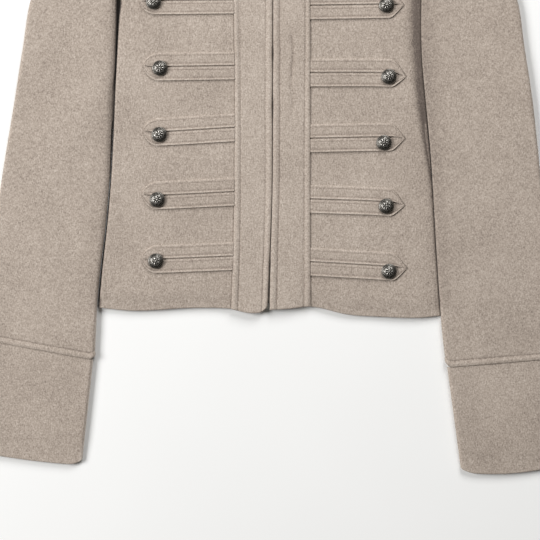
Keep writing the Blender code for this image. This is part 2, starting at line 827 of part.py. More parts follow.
def make_pull():
    """The zip's pull, hung on the lug by the bar across its window."""
    far = -PULL_LENGTH
    body = [
        (-PULL_NECK_HALF, PULL_BAR),
        (-PULL_NECK_HALF, -PULL_WINDOW_LENGTH - PULL_BAR),
        (-PULL_END_HALF, far + PULL_CORNER),
        (-PULL_END_HALF + PULL_CORNER, far),
        (PULL_END_HALF - PULL_CORNER, far),
        (PULL_END_HALF, far + PULL_CORNER),
        (PULL_NECK_HALF, -PULL_WINDOW_LENGTH - PULL_BAR),
        (PULL_NECK_HALF, PULL_BAR),
    ]
    window = [
        (-PULL_WINDOW_HALF, -PULL_BAR),
        (PULL_WINDOW_HALF, -PULL_BAR),
        (PULL_WINDOW_HALF, -PULL_WINDOW_LENGTH),
        (-PULL_WINDOW_HALF, -PULL_WINDOW_LENGTH),
    ]
    place_at = (centre_x(HINGE_UP), HINGE_UP, HINGE_RISE)
    outline("zip_pull", [body, window], PULL_THICKNESS, zip_metal, place_at)


clear_scene()
parts = new_collection(NAME)
cutters = new_collection("guides")
jacket = bpy.data.objects.new("jacket", None)
parts.objects.link(jacket)
jacket.location = (0.0, -ORIGIN_ABOVE_HEM * MM, 0.0)
wool = new_material("wool", WOOL, 0.95, 0.0)
tape = new_material("zip_tape", TAPE, 0.9, 0.0)
old_silver = new_material("old_silver", OLD_SILVER, 0.45, 1.0)
zip_metal = new_material("zip_metal", ZIP_METAL, 0.35, 1.0)
make_body()
make_sleeves()
make_collar()
make_plackets()
make_tabs()
make_zip()
make_slider()
make_pull()
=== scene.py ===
"""Cropped military jacket, laid flat: the looks of its cloth, sewing, buttons, zip and stage.

The tables are in millimetres. X runs across the jacket, Y runs up it from the hem, and Z
rises from the floor. "Right" and "left" are the wearer's: the right side lies at minus X.
"""
import math
from collections import namedtuple

import bpy
import numpy as np
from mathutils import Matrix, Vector
from bpy.props import FloatProperty, FloatVectorProperty, IntProperty, PointerProperty
from bpy.types import Operator, Panel, PropertyGroup


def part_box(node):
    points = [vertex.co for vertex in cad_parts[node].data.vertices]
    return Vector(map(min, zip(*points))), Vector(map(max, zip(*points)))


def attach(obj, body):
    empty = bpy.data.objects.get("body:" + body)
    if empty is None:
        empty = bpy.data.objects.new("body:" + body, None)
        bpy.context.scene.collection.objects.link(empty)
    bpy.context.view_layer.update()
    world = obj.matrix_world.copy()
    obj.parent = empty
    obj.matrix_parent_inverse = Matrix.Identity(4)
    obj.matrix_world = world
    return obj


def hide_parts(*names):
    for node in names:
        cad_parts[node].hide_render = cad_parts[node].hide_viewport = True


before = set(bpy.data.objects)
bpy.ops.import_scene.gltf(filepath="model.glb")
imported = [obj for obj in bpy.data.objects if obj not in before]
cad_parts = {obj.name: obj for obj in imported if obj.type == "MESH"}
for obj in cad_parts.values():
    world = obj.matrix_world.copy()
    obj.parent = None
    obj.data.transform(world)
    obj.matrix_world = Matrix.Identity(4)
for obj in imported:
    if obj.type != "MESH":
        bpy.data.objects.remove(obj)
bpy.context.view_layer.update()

bl_info = {
    "name": "Cropped military jacket",
    "version": (1, 0, 0),
    "blender": (4, 5, 0),
    "location": "View3D > Sidebar > Jacket",
    "description": "Dresses the solids of a cropped military jacket in wool, sewing, buttons and a zip",
    "category": "Object",
}

MM = 0.001
BODY = "jacket"

# The part's origin lies under the back panel, this far above the hem
ORIGIN_ABOVE_HEM = 160.0

# Cloth and folds
FOLD_STEPS = 9
SEAM_GAP = 0.3
SEAM_LAP = 1.5
LAP_START = (200.0, 235.0)
BODY_RISE = 8.0
SLEEVE_RISE = 8.6
CUFF_RISE = 7.6
FOLD_FLOOR = 2.9
MOST_FOLD = 1 / 3
CUFF_PRESS = 1.7
CUFF_PRESS_START = 0.7

# Where points lie close: beside the body's fold, down a sleeve and its seam, across a tube, on bands
NEAR_FOLD = np.arange(0.8, 11.0, 0.8)
BACK_PITCH = 1.4
EVEN_STATIONS = np.linspace(0, 8.7, 140)
STATION_LENGTH = 66
NEAR_SEAM = np.arange(19.0, 2.2, -0.8)
TUBE_SHARES = np.linspace(0, 1, 46)
PLACKET_PITCH = 0.8
TAPE_PITCH = 1.5
STRAP_PITCH = 2.2
STRAP_TURNS = np.linspace(0, 1, 15)[1:]
STRAP_MARKS = (0.62, 0.82, 1.0, 1.2, 1.45, 1.9)
CURVE_STEPS = np.linspace(0, 1, 7)

# Neck, shoulder and armhole
NECK_HALF = 75.0
NECK_FRONT = 408.0
NECK_BACK = 462.0
NECK_SIDE = 480.0
NECK_FRONT_POWER = 1.4
NECK_SHARE = 0.405
NECK_EASE = 0.08
SHOULDER_OUT = 185.0
SHOULDER_TIP = 437.0
SHOULDER_FOLD = 4.0
UNDERARM = 250.0
UNDERARM_EASE = 45.0
HEM_OUT = 205.0
BACK_HEM_LIFT = 2.0
BODY_LENGTH = 440.0

# Cuffs and collar
CUFF_INSET = 2.0
CUFF_GAP = -0.6
CUFF_LENGTH = 130.0
COLLAR_HEIGHT = 40.0
COLLAR_TAPER = 0.06
COLLAR_START = 5.5
COLLAR_GAP = 0.5
COLLAR_FOLD = 4.0
COLLAR_LAP = 1.0
SLEEVE_CORNER_SHARE = 0.06
CUFF_CORNER_SHARE = 0.14
CORNER_START = 0.93

# Centre front
PLACKET_TOP_GAP = 1.0
PLACKET_WIDTH = 45.0
PLACKET_SHARE = 0.25
DITCH_DEPTH = {"right": 0.7, "left": 0.3}
DITCH_AWAY = 0.35
DITCH_WIDTH = 0.5
DITCH_STEPS = (-0.8, -0.3, 0.05, 0.35, 0.65, 1.0, 1.5, 2.2)
TAPE_WIDTH = 13.0
TAPE_TOP = 5.3
TAPE_WALL = 0.9
TAPE_ENDS = (1.0, 418.0)
CHAIN_WIDTH = 5.0
CHAIN_FACES = (3.6, 5.2)
CHAIN_ENDS = (6.5, 413.5)

# Straps
TAB_HALF = 17.2
TAB_SLIT = 0.4
TAB_POINT = 15.0
TAB_SLIT_STOP = 3.2
TAB_ROOT_GAP = 0.05
TAB_BLUNT = 3.5

# Bands lie this far above the front, and so much lower than their plain solids
BAND_GAP = 0.1
BAND_SINK = 0.8

# How far the hem is pressed flat, how far up, and where that starts beside the opening
HEM_PRESS = 2.2
HEM_REACH = 22.0
HEM_FREE = (20.0, 60.0)

# Stitched edges: the ridge as shares of the inset, then half widths of the groove and its dark line
RIDGE_AT = 0.45
RIDGE_WIDTH = 0.3
GROOVE_WIDTH = 0.75
STITCH_WIDTH = 0.8
STITCH_REACH = 3

# Across a strap: the middle and half width of each edge's ridge, pressed part and painted lines of light, and
# where the painted dark line past the button lies
STRAP_GROOVE = 0.7
STRAP_PUFF = (1.0, 1.3)
STRAP_FLAT = (0.0, 2.6)
PRESSED_GROOVE = 0.3
STRAP_LIGHT_LINE = (1.1, 0.8)
STRAP_RIM_LINE = (0.7, 0.9)
SLIT_END = (14.0, 10.0)
SLIT_END_LINE = (0.0, 0.9)

# How much painted shade darkens the wool on stitched lines, beside the fold between body and sleeve, past a
# strap's button and in narrow creases, and how much painted light lightens it on ridges, strap edges and
# plackets
SLEEVE_STITCH_SHADE = 0.16
OUTER_STITCH_SHADE = 0.12
INNER_STITCH_SHADE = {"right": 0.08, "left": 0.24}
SIDE_SHADE = {"right": 0.06, "left": 0.10}
SIDE_REACH = 16.0
STRAP_STITCH_SHADE = 0.10
RIDGE_LIGHT = 0.03
STRAP_LIGHT = 0.11
PLACKET_LIGHT = {"right": 0.05, "left": 0.02}
STRAP_RIM_LIGHT = 0.06
SLIT_END_SHADE = 1.1
CREASE_SHADE = 0.18
NARROW_CREASE = 3.0

# Painted shade down the folds, and painted light on the sleeves' rims: over which heights above the hem it
# starts, and over which rises it deepens
HEM_RAMP = (-6.0, 10.0)
UNDER_RAMP = (1.0, 3.0)
FRONT_RAMP_START = 0.3
SLEEVE_RAMP = (2.9, SLEEVE_RISE - 2.4)
RIM_RAMP = (0.6, 0.98)

# Close steps beside a rounded edge
LIP = (0.0, 0.12, 0.45, 0.9, 1.4, 2.2)

SideRow = namedtuple("SideRow", "up out clear hollow body_fold sleeve_fold")
HemRow = namedtuple("HemRow", "out up")
SleeveRow = namedtuple("SleeveRow", "inner_up outer_out outer_up")
SeamRow = namedtuple("SeamRow", "inner_up outer_out outer_up corner")
CuffRow = namedtuple("CuffRow", "inner_out inner_up outer_out outer_up corner bow")
TabRow = namedtuple("TabRow", "root_up end_up tip_out tip_up")
CentreRow = namedtuple("CentreRow", "up centre right_edge left_edge")
# In a side, shade is how strongly shade is painted down the fold beside the sleeve, and rim how strongly
# light is painted on the sleeve's inner edge below the hem
Side = namedtuple("Side", "name sign shade floor rim line hem sleeve seam cuff strap_full strap_round tabs")
Fold = namedtuple("Fold", "reach drop hollow", defaults=(0.0,))
# A soft ridge, or a trough where the height is less than nothing: its middle, half length,
# direction in degrees, half width and height
CreaseRow = namedtuple("CreaseRow", "x y reach angle width height")

CENTRE = (
    CentreRow(-12.0, -2.8, 47.6, 48.6),
    CentreRow(60.0, -0.6, 45.0, 48.0),
    CentreRow(142.0, 2.0, 43.4, 47.9),
    CentreRow(255.0, 2.5, 42.8, 47.9),
    CentreRow(370.0, 2.8, 44.0, 47.9),
    CentreRow(425.0, 2.8, 44.5, 47.9),
)

RIGHT = Side(
    name="right",
    sign=-1,
    # Strength of the shade painted down the fold beside the sleeve
    shade=1.0,
    floor=2.9,
    # Strength of the light painted on the sleeve's inner edge below the hem
    rim=0.36,
    line=(
        SideRow(-70.0, 209.0, 2.5, 0.0, 4.0, 4.0),
        SideRow(0.0, 206.0, 2.4, 0.0, 3.0, 4.0),
        SideRow(45.0, 202.2, 2.3, 0.0, 2.8, 4.6),
        SideRow(100.0, 196.1, 1.8, 0.0, 2.6, 6.4),
        SideRow(155.0, 191.4, 1.5, 0.0, 2.6, 7.0),
        SideRow(215.0, 188.3, 1.1, 0.6, 2.6, 7.6),
        SideRow(250.0, 186.9, 0.3, 1.6, 2.6, 8.0),
        SideRow(300.0, 184.4, 0.3, 1.8, 2.8, 8.6),
        SideRow(345.0, 182.1, 0.3, 2.5, 3.6, 9.0),
        SideRow(370.0, 180.4, 0.3, 3.6, 5.4, 9.4),
        SideRow(445.0, 185.4, 0.3, 0.0, 2.8, 2.8),
    ),
    hem=(
        HemRow(0.0, 0.6),
        HemRow(4.0, -2.4),
        HemRow(9.0, -5.6),
        HemRow(25.0, -6.0),
        HemRow(52.0, -1.0),
        HemRow(97.0, 0.0),
        HemRow(165.0, -3.5),
        HemRow(206.0, 0.0),
    ),
    sleeve=(
        SleeveRow(434.0, 192.0, 440.5),
        SleeveRow(418.0, 230.0, 432.0),
        SleeveRow(395.0, 263.0, 409.0),
        SleeveRow(368.0, 287.0, 374.0),
        SleeveRow(300.0, 298.2, 310.0),
        SleeveRow(225.0, 309.2, 240.0),
        SleeveRow(154.0, 320.8, 170.0),
        SleeveRow(82.0, 331.0, 100.0),
        SleeveRow(2.0, 340.0, 22.0),
    ),
    seam=SeamRow(-63.0, 348.6, -38.0, 4.0),
    cuff=CuffRow(226.4, -189.0, 352.0, -173.4, 6.0, 2.0),
    strap_full=3.0,
    strap_round=9.0,
    tabs=(
        TabRow(369.6, 368.4, 157.2, 367.6),
        TabRow(290.6, 289.4, 153.4, 290.6),
        TabRow(216.4, 210.9, 153.6, 211.8),
        TabRow(139.3, 134.9, 154.8, 136.6),
        TabRow(62.1, 58.4, 155.6, 59.2),
    ),
)

LEFT = Side(
    name="left",
    sign=1,
    # Strength of the shade painted down the fold beside the sleeve
    shade=0.32,
    floor=5.0,
    # Strength of the light painted on the sleeve's inner edge below the hem
    rim=0.0,
    line=(
        SideRow(-75.0, 210.4, 0.4, 0.0, 3.6, 4.0),
        SideRow(-10.0, 204.2, 0.4, 0.0, 3.6, 4.0),
        SideRow(60.0, 199.4, 0.4, 0.0, 3.6, 3.2),
        SideRow(163.0, 193.4, 0.4, 0.0, 6.6, 2.4),
        SideRow(215.0, 189.2, 0.4, 0.0, 12.0, 1.8),
        SideRow(250.0, 185.9, 0.3, 0.0, 16.0, 1.5),
        SideRow(307.0, 181.2, 0.3, 0.0, 18.5, 1.4),
        SideRow(370.0, 181.0, 0.3, 0.0, 19.5, 1.4),
        SideRow(445.0, 185.4, 0.3, 0.0, 7.0, 2.4),
    ),
    hem=(
        HemRow(0.0, -2.4),
        HemRow(23.0, -1.2),
        HemRow(45.0, 1.6),
        HemRow(62.0, 0.0),
        HemRow(95.0, -7.8),
        HemRow(130.0, -10.4),
        HemRow(180.0, -12.0),
        HemRow(206.0, -9.6),
    ),
    sleeve=(
        SleeveRow(434.0, 192.5, 440.5),
        SleeveRow(418.0, 234.0, 433.0),
        SleeveRow(395.0, 270.0, 410.0),
        SleeveRow(368.0, 295.4, 374.0),
        SleeveRow(307.0, 305.6, 312.0),
        SleeveRow(240.0, 315.5, 246.0),
        SleeveRow(163.0, 323.6, 170.0),
        SleeveRow(80.0, 332.0, 88.0),
        SleeveRow(0.0, 339.5, 8.0),
    ),
    seam=SeamRow(-72.0, 346.2, -61.0, 6.0),
    cuff=CuffRow(229.0, -197.4, 357.0, -186.6, 4.0, 6.8),
    strap_full=0.6,
    strap_round=6.0,
    tabs=(
        TabRow(362.8, 364.2, 160.0, 363.6),
        TabRow(282.2, 281.6, 162.6, 277.4),
        TabRow(203.3, 205.0, 161.4, 203.4),
        TabRow(130.7, 126.7, 161.0, 122.8),
        TabRow(55.4, 49.4, 163.6, 48.0),
    ),
)

SIDES = (RIGHT, LEFT)

# Half the width of the slit over the zip, which gapes at the hem and in two places above
OpenRow = namedtuple("OpenRow", "up half")
OPENING = (
    OpenRow(-12.0, 1.6),
    OpenRow(3.0, 1.4),
    OpenRow(9.0, 1.05),
    OpenRow(25.0, 1.0),
    OpenRow(38.0, 0.75),
    OpenRow(50.0, 0.95),
    OpenRow(64.0, 0.45),
    OpenRow(222.0, 0.38),
    OpenRow(241.0, 0.92),
    OpenRow(258.0, 0.42),
    OpenRow(290.0, 0.42),
    OpenRow(304.0, 0.92),
    OpenRow(318.0, 0.42),
    OpenRow(425.0, 0.56),
)

# How the fronts lie: drag lines from the armholes, soft hollows and a few ripples at the hem
FRONT_CREASES = (
    CreaseRow(25.8, 322.0, 17.0, 95.0, 1.9, -0.55),
    CreaseRow(26.0, 288.0, 20.0, 87.0, 1.7, -0.85),
    CreaseRow(26.2, 246.0, 18.0, 92.0, 2.4, -0.40),
    CreaseRow(-197.8, 32.0, 24.0, 95.0, 0.9, -0.50),
    CreaseRow(198.8, 10.0, 18.0, 95.0, 0.9, -0.50),
    CreaseRow(-150.0, 330.0, 60.0, 62.0, 17.0, 0.60),
    CreaseRow(-118.0, 322.0, 46.0, 70.0, 13.0, -0.45),
    CreaseRow(-105.0, 178.0, 70.0, 12.0, 15.0, 0.40),
    CreaseRow(-92.0, 98.0, 58.0, -8.0, 17.0, -0.45),
    CreaseRow(-168.0, 120.0, 75.0, 84.0, 15.0, -0.50),
    CreaseRow(-70.0, 18.0, 34.0, 88.0, 12.0, -0.40),
    CreaseRow(-132.0, 14.0, 42.0, 96.0, 16.0, 0.45),
    CreaseRow(146.0, 335.0, 64.0, 116.0, 19.0, 0.55),
    CreaseRow(112.0, 318.0, 50.0, 104.0, 14.0, -0.50),
    CreaseRow(98.0, 165.0, 66.0, -14.0, 16.0, -0.40),
    CreaseRow(120.0, 86.0, 54.0, 9.0, 15.0, 0.45),
    CreaseRow(172.0, 150.0, 82.0, 95.0, 14.0, -0.50),
    CreaseRow(70.0, 20.0, 36.0, 93.0, 11.0, 0.40),
    CreaseRow(118.0, 8.0, 40.0, 86.0, 15.0, -0.50),
    CreaseRow(160.0, 22.0, 46.0, 98.0, 17.0, 0.45),
)

# How the upper faces of the sleeves lie
SLEEVE_CREASES = (
    CreaseRow(-250.0, 300.0, 84.0, 70.0, 17.0, -0.70),
    CreaseRow(-222.0, 232.0, 64.0, 64.0, 13.0, 0.60),
    CreaseRow(-270.0, 176.0, 72.0, 84.0, 19.0, 0.65),
    CreaseRow(-246.0, 84.0, 58.0, 100.0, 16.0, -0.65),
    CreaseRow(-300.0, 42.0, 66.0, 82.0, 18.0, -0.55),
    CreaseRow(-238.0, -18.0, 44.0, 78.0, 14.0, 0.50),
    CreaseRow(250.0, 310.0, 76.0, 108.0, 18.0, -0.65),
    CreaseRow(222.0, 250.0, 58.0, 114.0, 12.0, 0.60),
    CreaseRow(284.0, 206.0, 80.0, 98.0, 18.0, 0.60),
    CreaseRow(246.0, 110.0, 60.0, 86.0, 17.0, -0.70),
    CreaseRow(300.0, 60.0, 70.0, 95.0, 16.0, -0.50),
    CreaseRow(252.0, -12.0, 52.0, 102.0, 15.0, 0.55),
    CreaseRow(-212.0, -42.0, 20.0, 93.5, 1.1, -0.50),
)

CUFF_CREASES = (
    CreaseRow(-262.0, -112.0, 60.0, 84.0, 16.0, 0.40),
    CreaseRow(-318.0, -126.0, 54.0, 92.0, 15.0, -0.40),
    CreaseRow(258.0, -126.0, 62.0, 98.0, 15.0, -0.40),
    CreaseRow(312.0, -136.0, 58.0, 90.0, 17.0, 0.40),
)


# What a user may change

class ClothLooks(PropertyGroup):
    """Sizes of the cloth's walls and edges."""

    wall: FloatProperty(
        name="Wool wall", description="Thickness of the wool panels", default=2.4 * MM, unit="LENGTH"
    )
    band_wall: FloatProperty(
        name="Band wall", description="Thickness of plackets and straps", default=1.4 * MM, unit="LENGTH"
    )
    pitch: FloatProperty(
        name="Pitch", description="Spacing of the cloth's points", default=3.0 * MM, unit="LENGTH"
    )
    ridge: FloatProperty(
        name="Edge ridge", description="How far a stitched edge puffs up", default=0.7 * MM, unit="LENGTH"
    )
    groove: FloatProperty(
        name="Stitch groove", description="How far stitching pulls the cloth in",
        default=0.55 * MM, unit="LENGTH",
    )
    strap_ridge: FloatProperty(
        name="Strap ridge", description="How far a strap's lower edges puff up",
        default=0.85 * MM, unit="LENGTH",
    )
    strap_press: FloatProperty(
        name="Strap press", description="How far a strap's upper edges lie pressed",
        default=0.5 * MM, unit="LENGTH",
    )
    placket_inset: FloatProperty(
        name="Placket stitching", description="From a placket's edge to its stitching", default=8.4 * MM,
        unit="LENGTH",
    )
    tab_inset: FloatProperty(
        name="Strap stitching", description="From a strap's edge to its stitching",
        default=3.6 * MM, unit="LENGTH",
    )
    sleeve_inset: FloatProperty(
        name="Sleeve stitching", description="From a sleeve's end to its stitching", default=8.0 * MM,
        unit="LENGTH",
    )


class WoolLooks(PropertyGroup):
    """Colours of the melange wool and of its thread."""

    base: FloatVectorProperty(
        name="Wool", description="Main colour of the wool", default=(0.417, 0.349, 0.294), subtype="COLOR"
    )
    pale: FloatVectorProperty(
        name="Pale fibres", description="Colour of the pale fibres",
        default=(0.66, 0.582, 0.512), subtype="COLOR",
    )
    dark: FloatVectorProperty(
        name="Dark fibres", description="Colour of the dark fibres",
        default=(0.175, 0.141, 0.121), subtype="COLOR",
    )
    thread: FloatVectorProperty(
        name="Thread", description="Colour of the sewing thread", default=(0.36, 0.295, 0.25), subtype="COLOR"
    )
    tape: FloatVectorProperty(
        name="Zip tape", description="Colour of the zip's tape", default=(0.12, 0.10, 0.09), subtype="COLOR"
    )


class StitchLooks(PropertyGroup):
    """Sizes of one stitch."""

    length: FloatProperty(
        name="Stitch length", description="Length of thread that shows", default=2.6 * MM, unit="LENGTH"
    )
    space: FloatProperty(
        name="Stitch space", description="Space between stitches", default=0.5 * MM, unit="LENGTH"
    )
    thickness: FloatProperty(
        name="Thread", description="Thickness of the thread", default=0.42 * MM, unit="LENGTH"
    )


class ButtonLooks(PropertyGroup):
    """Shape and colours of the domed buttons."""

    petals: IntProperty(name="Petals", description="Petals of the raised rosette", default=8)
    beads: IntProperty(name="Beads", description="Beads round the rosette", default=24)
    relief: FloatProperty(
        name="Relief", description="Height of the raised pattern", default=0.28 * MM, unit="LENGTH"
    )
    bright: FloatVectorProperty(
        name="Worn silver", description="Colour of the rubbed heights",
        default=(0.54, 0.52, 0.485), subtype="COLOR",
    )
    dull: FloatVectorProperty(
        name="Tarnish", description="Colour of the hollows", default=(0.05, 0.045, 0.038), subtype="COLOR"
    )


class ZipLooks(PropertyGroup):
    """Sizes and colour of the zip's teeth."""

    pitch: FloatProperty(
        name="Tooth pitch", description="From one tooth to the next on a tape",
        default=3.0 * MM, unit="LENGTH",
    )
    tooth: FloatProperty(
        name="Tooth width", description="How wide a tooth is along the zip", default=1.35 * MM, unit="LENGTH"
    )
    metal: FloatVectorProperty(
        name="Zip metal", description="Colour of the zip's metal", default=(0.78, 0.76, 0.72), subtype="COLOR"
    )


class StageLooks(PropertyGroup):
    """The floor, the light and the camera."""

    floor: FloatVectorProperty(
        name="Floor", description="Colour of the floor", default=(0.93, 0.93, 0.92), subtype="COLOR"
    )
    sky: FloatProperty(name="Sky", description="Strength of the even light all round", default=0.10)
    left_light: FloatProperty(
        name="Left light", description="Power of the main light", default=151.0, unit="POWER"
    )
    top_light: FloatProperty(
        name="Top light", description="Power of the second light", default=53.0, unit="POWER"
    )
    view_width: FloatProperty(
        name="View width", description="Width that the camera sees", default=648.0 * MM, unit="LENGTH"
    )
    camera_height: FloatProperty(
        name="Camera height", description="From the cloth to the camera", default=1.9, unit="LENGTH"
    )
    aim_up: FloatProperty(
        name="Aim", description="How far above the hem the camera looks", default=45.6 * MM, unit="LENGTH"
    )


# Curves through tables

def lerp(start, end, share):
    """The value a share of the way from start to end."""
    return start + (end - start) * share


def along(rows, key, value, at):
    """A column's value on a smooth curve through a table's rows."""
    keys = [getattr(row, key) for row in rows]
    values = [getattr(row, value) for row in rows]
    return smooth(keys, values, at)


def smooth(keys, values, at):
    """A value on the smooth curve that passes through each key's value."""
    at = min(max(at, min(keys)), max(keys))
    span = 0
    while span < len(keys) - 2 and at > keys[span + 1]:
        span += 1
    slopes = []
    for point in (span, span + 1):
        before = max(point - 1, 0)
        after = min(point + 1, len(keys) - 1)
        slopes.append((values[after] - values[before]) / (keys[after] - keys[before]))
    length = keys[span + 1] - keys[span]
    t = (at - keys[span]) / length
    start = (1 + 2 * t) * (1 - t) ** 2
    end = t * t * (3 - 2 * t)
    leave = t * (1 - t) ** 2 * length
    arrive = t * t * (t - 1) * length
    return values[span] * start + values[span + 1] * end + slopes[0] * leave + slopes[1] * arrive


def ease(at, start, end):
    """A soft step from 0 at start to 1 at end."""
    share = np.clip((at - start) / (end - start), 0.0, 1.0)
    return share * share * (3 - 2 * share)


def bell(at, middle, width):
    """A soft bump, 1 at its middle and almost nothing two half widths away."""
    return np.exp(-(((at - middle) / width) ** 2))


def spread(length, pitch, start=LIP, end=LIP):
    """Shares of the way along a length: close steps at the ends and even ones between."""
    low, high = start[-1], length - end[-1]
    count = max(2, round((high - low) / pitch))
    steps = list(start[:-1]) + list(np.linspace(low, high, count)) + [length - step for step in end[-2::-1]]
    return [step / length for step in steps]


def fold_path(fold):
    """Steps over a folded edge, as how far in from the edge and how far fallen."""
    height = min(fold.reach, fold.drop)
    soft = float(np.clip(fold.reach / max(fold.drop, SEAM_GAP) - 1.5, 0.0, 1.0)) if fold.drop else 0.0
    count = FOLD_STEPS - 1 if fold.hollow else FOLD_STEPS
    path = []
    for step in range(count):
        turn = math.sin(step / count * math.pi / 2) * math.pi / 2
        run = lerp(math.sin(turn), step / count, soft)
        fall = lerp(height * (1 - math.cos(turn)), fold.drop * float(ease(run, 0.0, 1.0)), soft)
        path.append((fold.hollow + fold.reach * (1 - run), fall))
    if fold.hollow:
        path.append((fold.hollow, fold.drop))
    path.append((0.0, fold.drop))
    return path


# The body's plan

def side_out(side, up):
    """How far out the side line lies."""
    return along(side.line, "up", "out", up)


def centre_x(up):
    """Where the front opening lies."""
    return along(CENTRE, "up", "centre", up)


def opening_half(up):
    """Half the width of the slit over the zip."""
    return along(OPENING, "up", "half", up)


def placket_out(side, up):
    """How far out a placket's outer edge lies."""
    return along(CENTRE, "up", side.name + "_edge", up)


def hem_up(side, out):
    """How high a front's hem lies."""
    return along(side.hem, "out", "up", out)


def shoulder_up(out):
    """The shoulder line from the neck point to its tip."""
    share = (out - NECK_HALF) / (SHOULDER_OUT - NECK_HALF)
    return lerp(NECK_SIDE, SHOULDER_TIP, share)


def front_top(out):
    """The front's upper edge: the neckline, then the shoulder."""
    if out > NECK_HALF:
        return shoulder_up(out)
    return lerp(NECK_FRONT, NECK_SIDE, (out / NECK_HALF) ** NECK_FRONT_POWER)


def back_top(out):
    """The back's upper edge: a shallow neckline, then the shoulder."""
    if out > NECK_HALF:
        return shoulder_up(out)
    return lerp(NECK_BACK, NECK_SIDE, (out / NECK_HALF) ** 2)


def armhole_open(up, upper):
    """How far the folded edge has opened into the sleeve: 0 at the side, 1 at the armhole."""
    start = UNDERARM if upper else UNDERARM - UNDERARM_EASE
    return float(ease(up, start, start + UNDERARM_EASE))


def side_fold(side, column, up, rise, upper, floor=FOLD_FLOOR):
    """The folded edge of the body or a sleeve where the two lie side by side."""
    closed_drop = rise / 2 - SEAM_GAP / 2
    open_drop = rise - floor if upper else 0.0
    reach = along(side.line, "up", column, up)
    return Fold(reach, lerp(closed_drop, open_drop, armhole_open(up, upper)))


def body_fold(side, up, upper):
    """The body's folded side."""
    return side_fold(side, "body_fold", up, BODY_RISE, upper, side.floor)


def tucked_under(side, up):
    """How far the back's folded side bulges out low down, towards the sleeve beside it."""
    gap = along(side.line, "up", "clear", up) - SEAM_GAP
    return max(gap, 0.0) * (1 - armhole_open(up, False))


def body_out(side, share, up, upper):
    """How far out a share of the way to the folded side lies, with one share on the placket's edge."""
    edge = side_out(side, up) - body_fold(side, up, upper).reach
    if not upper:
        return lerp(0.0, edge, share)
    band = placket_out(side, up)
    if share < PLACKET_SHARE:
        return lerp(centre_x(up) * side.sign + opening_half(up), band, share / PLACKET_SHARE)
    return lerp(band, edge, (share - PLACKET_SHARE) / (1 - PLACKET_SHARE))


def body_shares(pitch, upper):
    """Shares across half of the body, close together at the opening and beside the fold."""
    steps = spread(SHOULDER_OUT, pitch, start=LIP if upper else (0.0,), end=(0.0,))
    marks = set(steps) | {1 - step / SHOULDER_OUT for step in NEAR_FOLD} | {NECK_SHARE}
    if upper:
        marks |= {PLACKET_SHARE + step / SHOULDER_OUT for step in DITCH_STEPS}
    return sorted(marks)


def body_rows(side, upper, pitch):
    """Rows of points on half of the body, from the centre out to the folded side."""
    top = front_top if upper else back_top
    lift = 0.0 if upper else BACK_HEM_LIFT
    shoulder = fold_path(Fold(SHOULDER_FOLD, BODY_RISE - FOLD_FLOOR if upper else 0.0))
    turns = range(1, FOLD_STEPS + 1)
    stations = [(up, 0) for up in spread(BODY_LENGTH, pitch, end=(0.0,))] + [(1.0, step) for step in turns]
    columns = [(share, 0) for share in body_shares(pitch, upper)] + [(1.0, bend) for bend in turns]
    rows = []
    for up, step in stations:
        row = []
        for share, bend in columns:
            weight = min(max((share - NECK_SHARE) / NECK_EASE, 0.0), 1.0)
            inset = lerp(SHOULDER_FOLD * (1 - step / FOLD_STEPS), shoulder[step][0], weight)
            fall = shoulder[step][1] * weight
            low = hem_up(side, HEM_OUT * share) + lift
            high = top(SHOULDER_OUT * share) - SHOULDER_FOLD
            y = lerp(low, high, up) + SHOULDER_FOLD - inset
            out = body_out(side, share, y, upper)
            if bend:
                lap = SEAM_LAP * float(ease(y, *LAP_START)) if upper else 0.0
                edge_inset, edge_fall = fold_path(body_fold(side, y, upper)._replace(hollow=lap))[bend]
                out = side_out(side, y) + lap - edge_inset
                if not upper:
                    out += tucked_under(side, y) * 4 * bend / FOLD_STEPS * (1 - bend / FOLD_STEPS)
                fall = max(fall, edge_fall)
            row.append((side.sign * out, y, BODY_RISE - fall if upper else fall))
        rows.append(row)
    return np.array(rows)


def ditch(side, grid):
    """Sink a front along its placket's outer edge, where the band is sewn down."""
    edges = np.array([[placket_out(side, up) for up in row] for row in grid[..., 1]])
    away = side.sign * grid[..., 0] - edges
    grid[..., 2] -= DITCH_DEPTH[side.name] * bell(away, DITCH_AWAY, DITCH_WIDTH)
    return grid


def fold_shade(side, grid, columns, deep):
    """How strongly shade is painted down the fold between body and sleeve, at the given columns."""
    shade = np.zeros(grid.shape[:2])
    beside = ease(grid[:, columns, 1], *HEM_RAMP)
    shade[:, columns] = side.shade * beside * deep(grid[:, columns, 2])
    return shade


def under_deep(rise):
    """How strongly shade is painted up the fold of an under piece."""
    return ease(rise, *UNDER_RAMP)


def rim_light(side, grid, rise):
    """Painted light on a sleeve's inner edge below the body's hem, given as shade below nothing."""
    shade = np.zeros(grid.shape[:2])
    edge = grid[:, :FOLD_STEPS + 1]
    below = 1 - ease(edge[..., 1], *HEM_RAMP)
    shade[:, :FOLD_STEPS + 1] = -side.rim * below * (1 - ease(edge[..., 2] / rise, *RIM_RAMP))
    return shade


def side_shade(side, grid, edge):
    """Painted shade that darkens the wool softly beside the fold between body and sleeve, away from an edge
    column.
    """
    away = np.abs(grid[..., 0] - grid[:, edge, None, 0])
    return SIDE_SHADE[side.name] * bell(away, 0.0, SIDE_REACH) * ease(grid[..., 1], *HEM_RAMP)


# Tubes: sleeves and cuffs

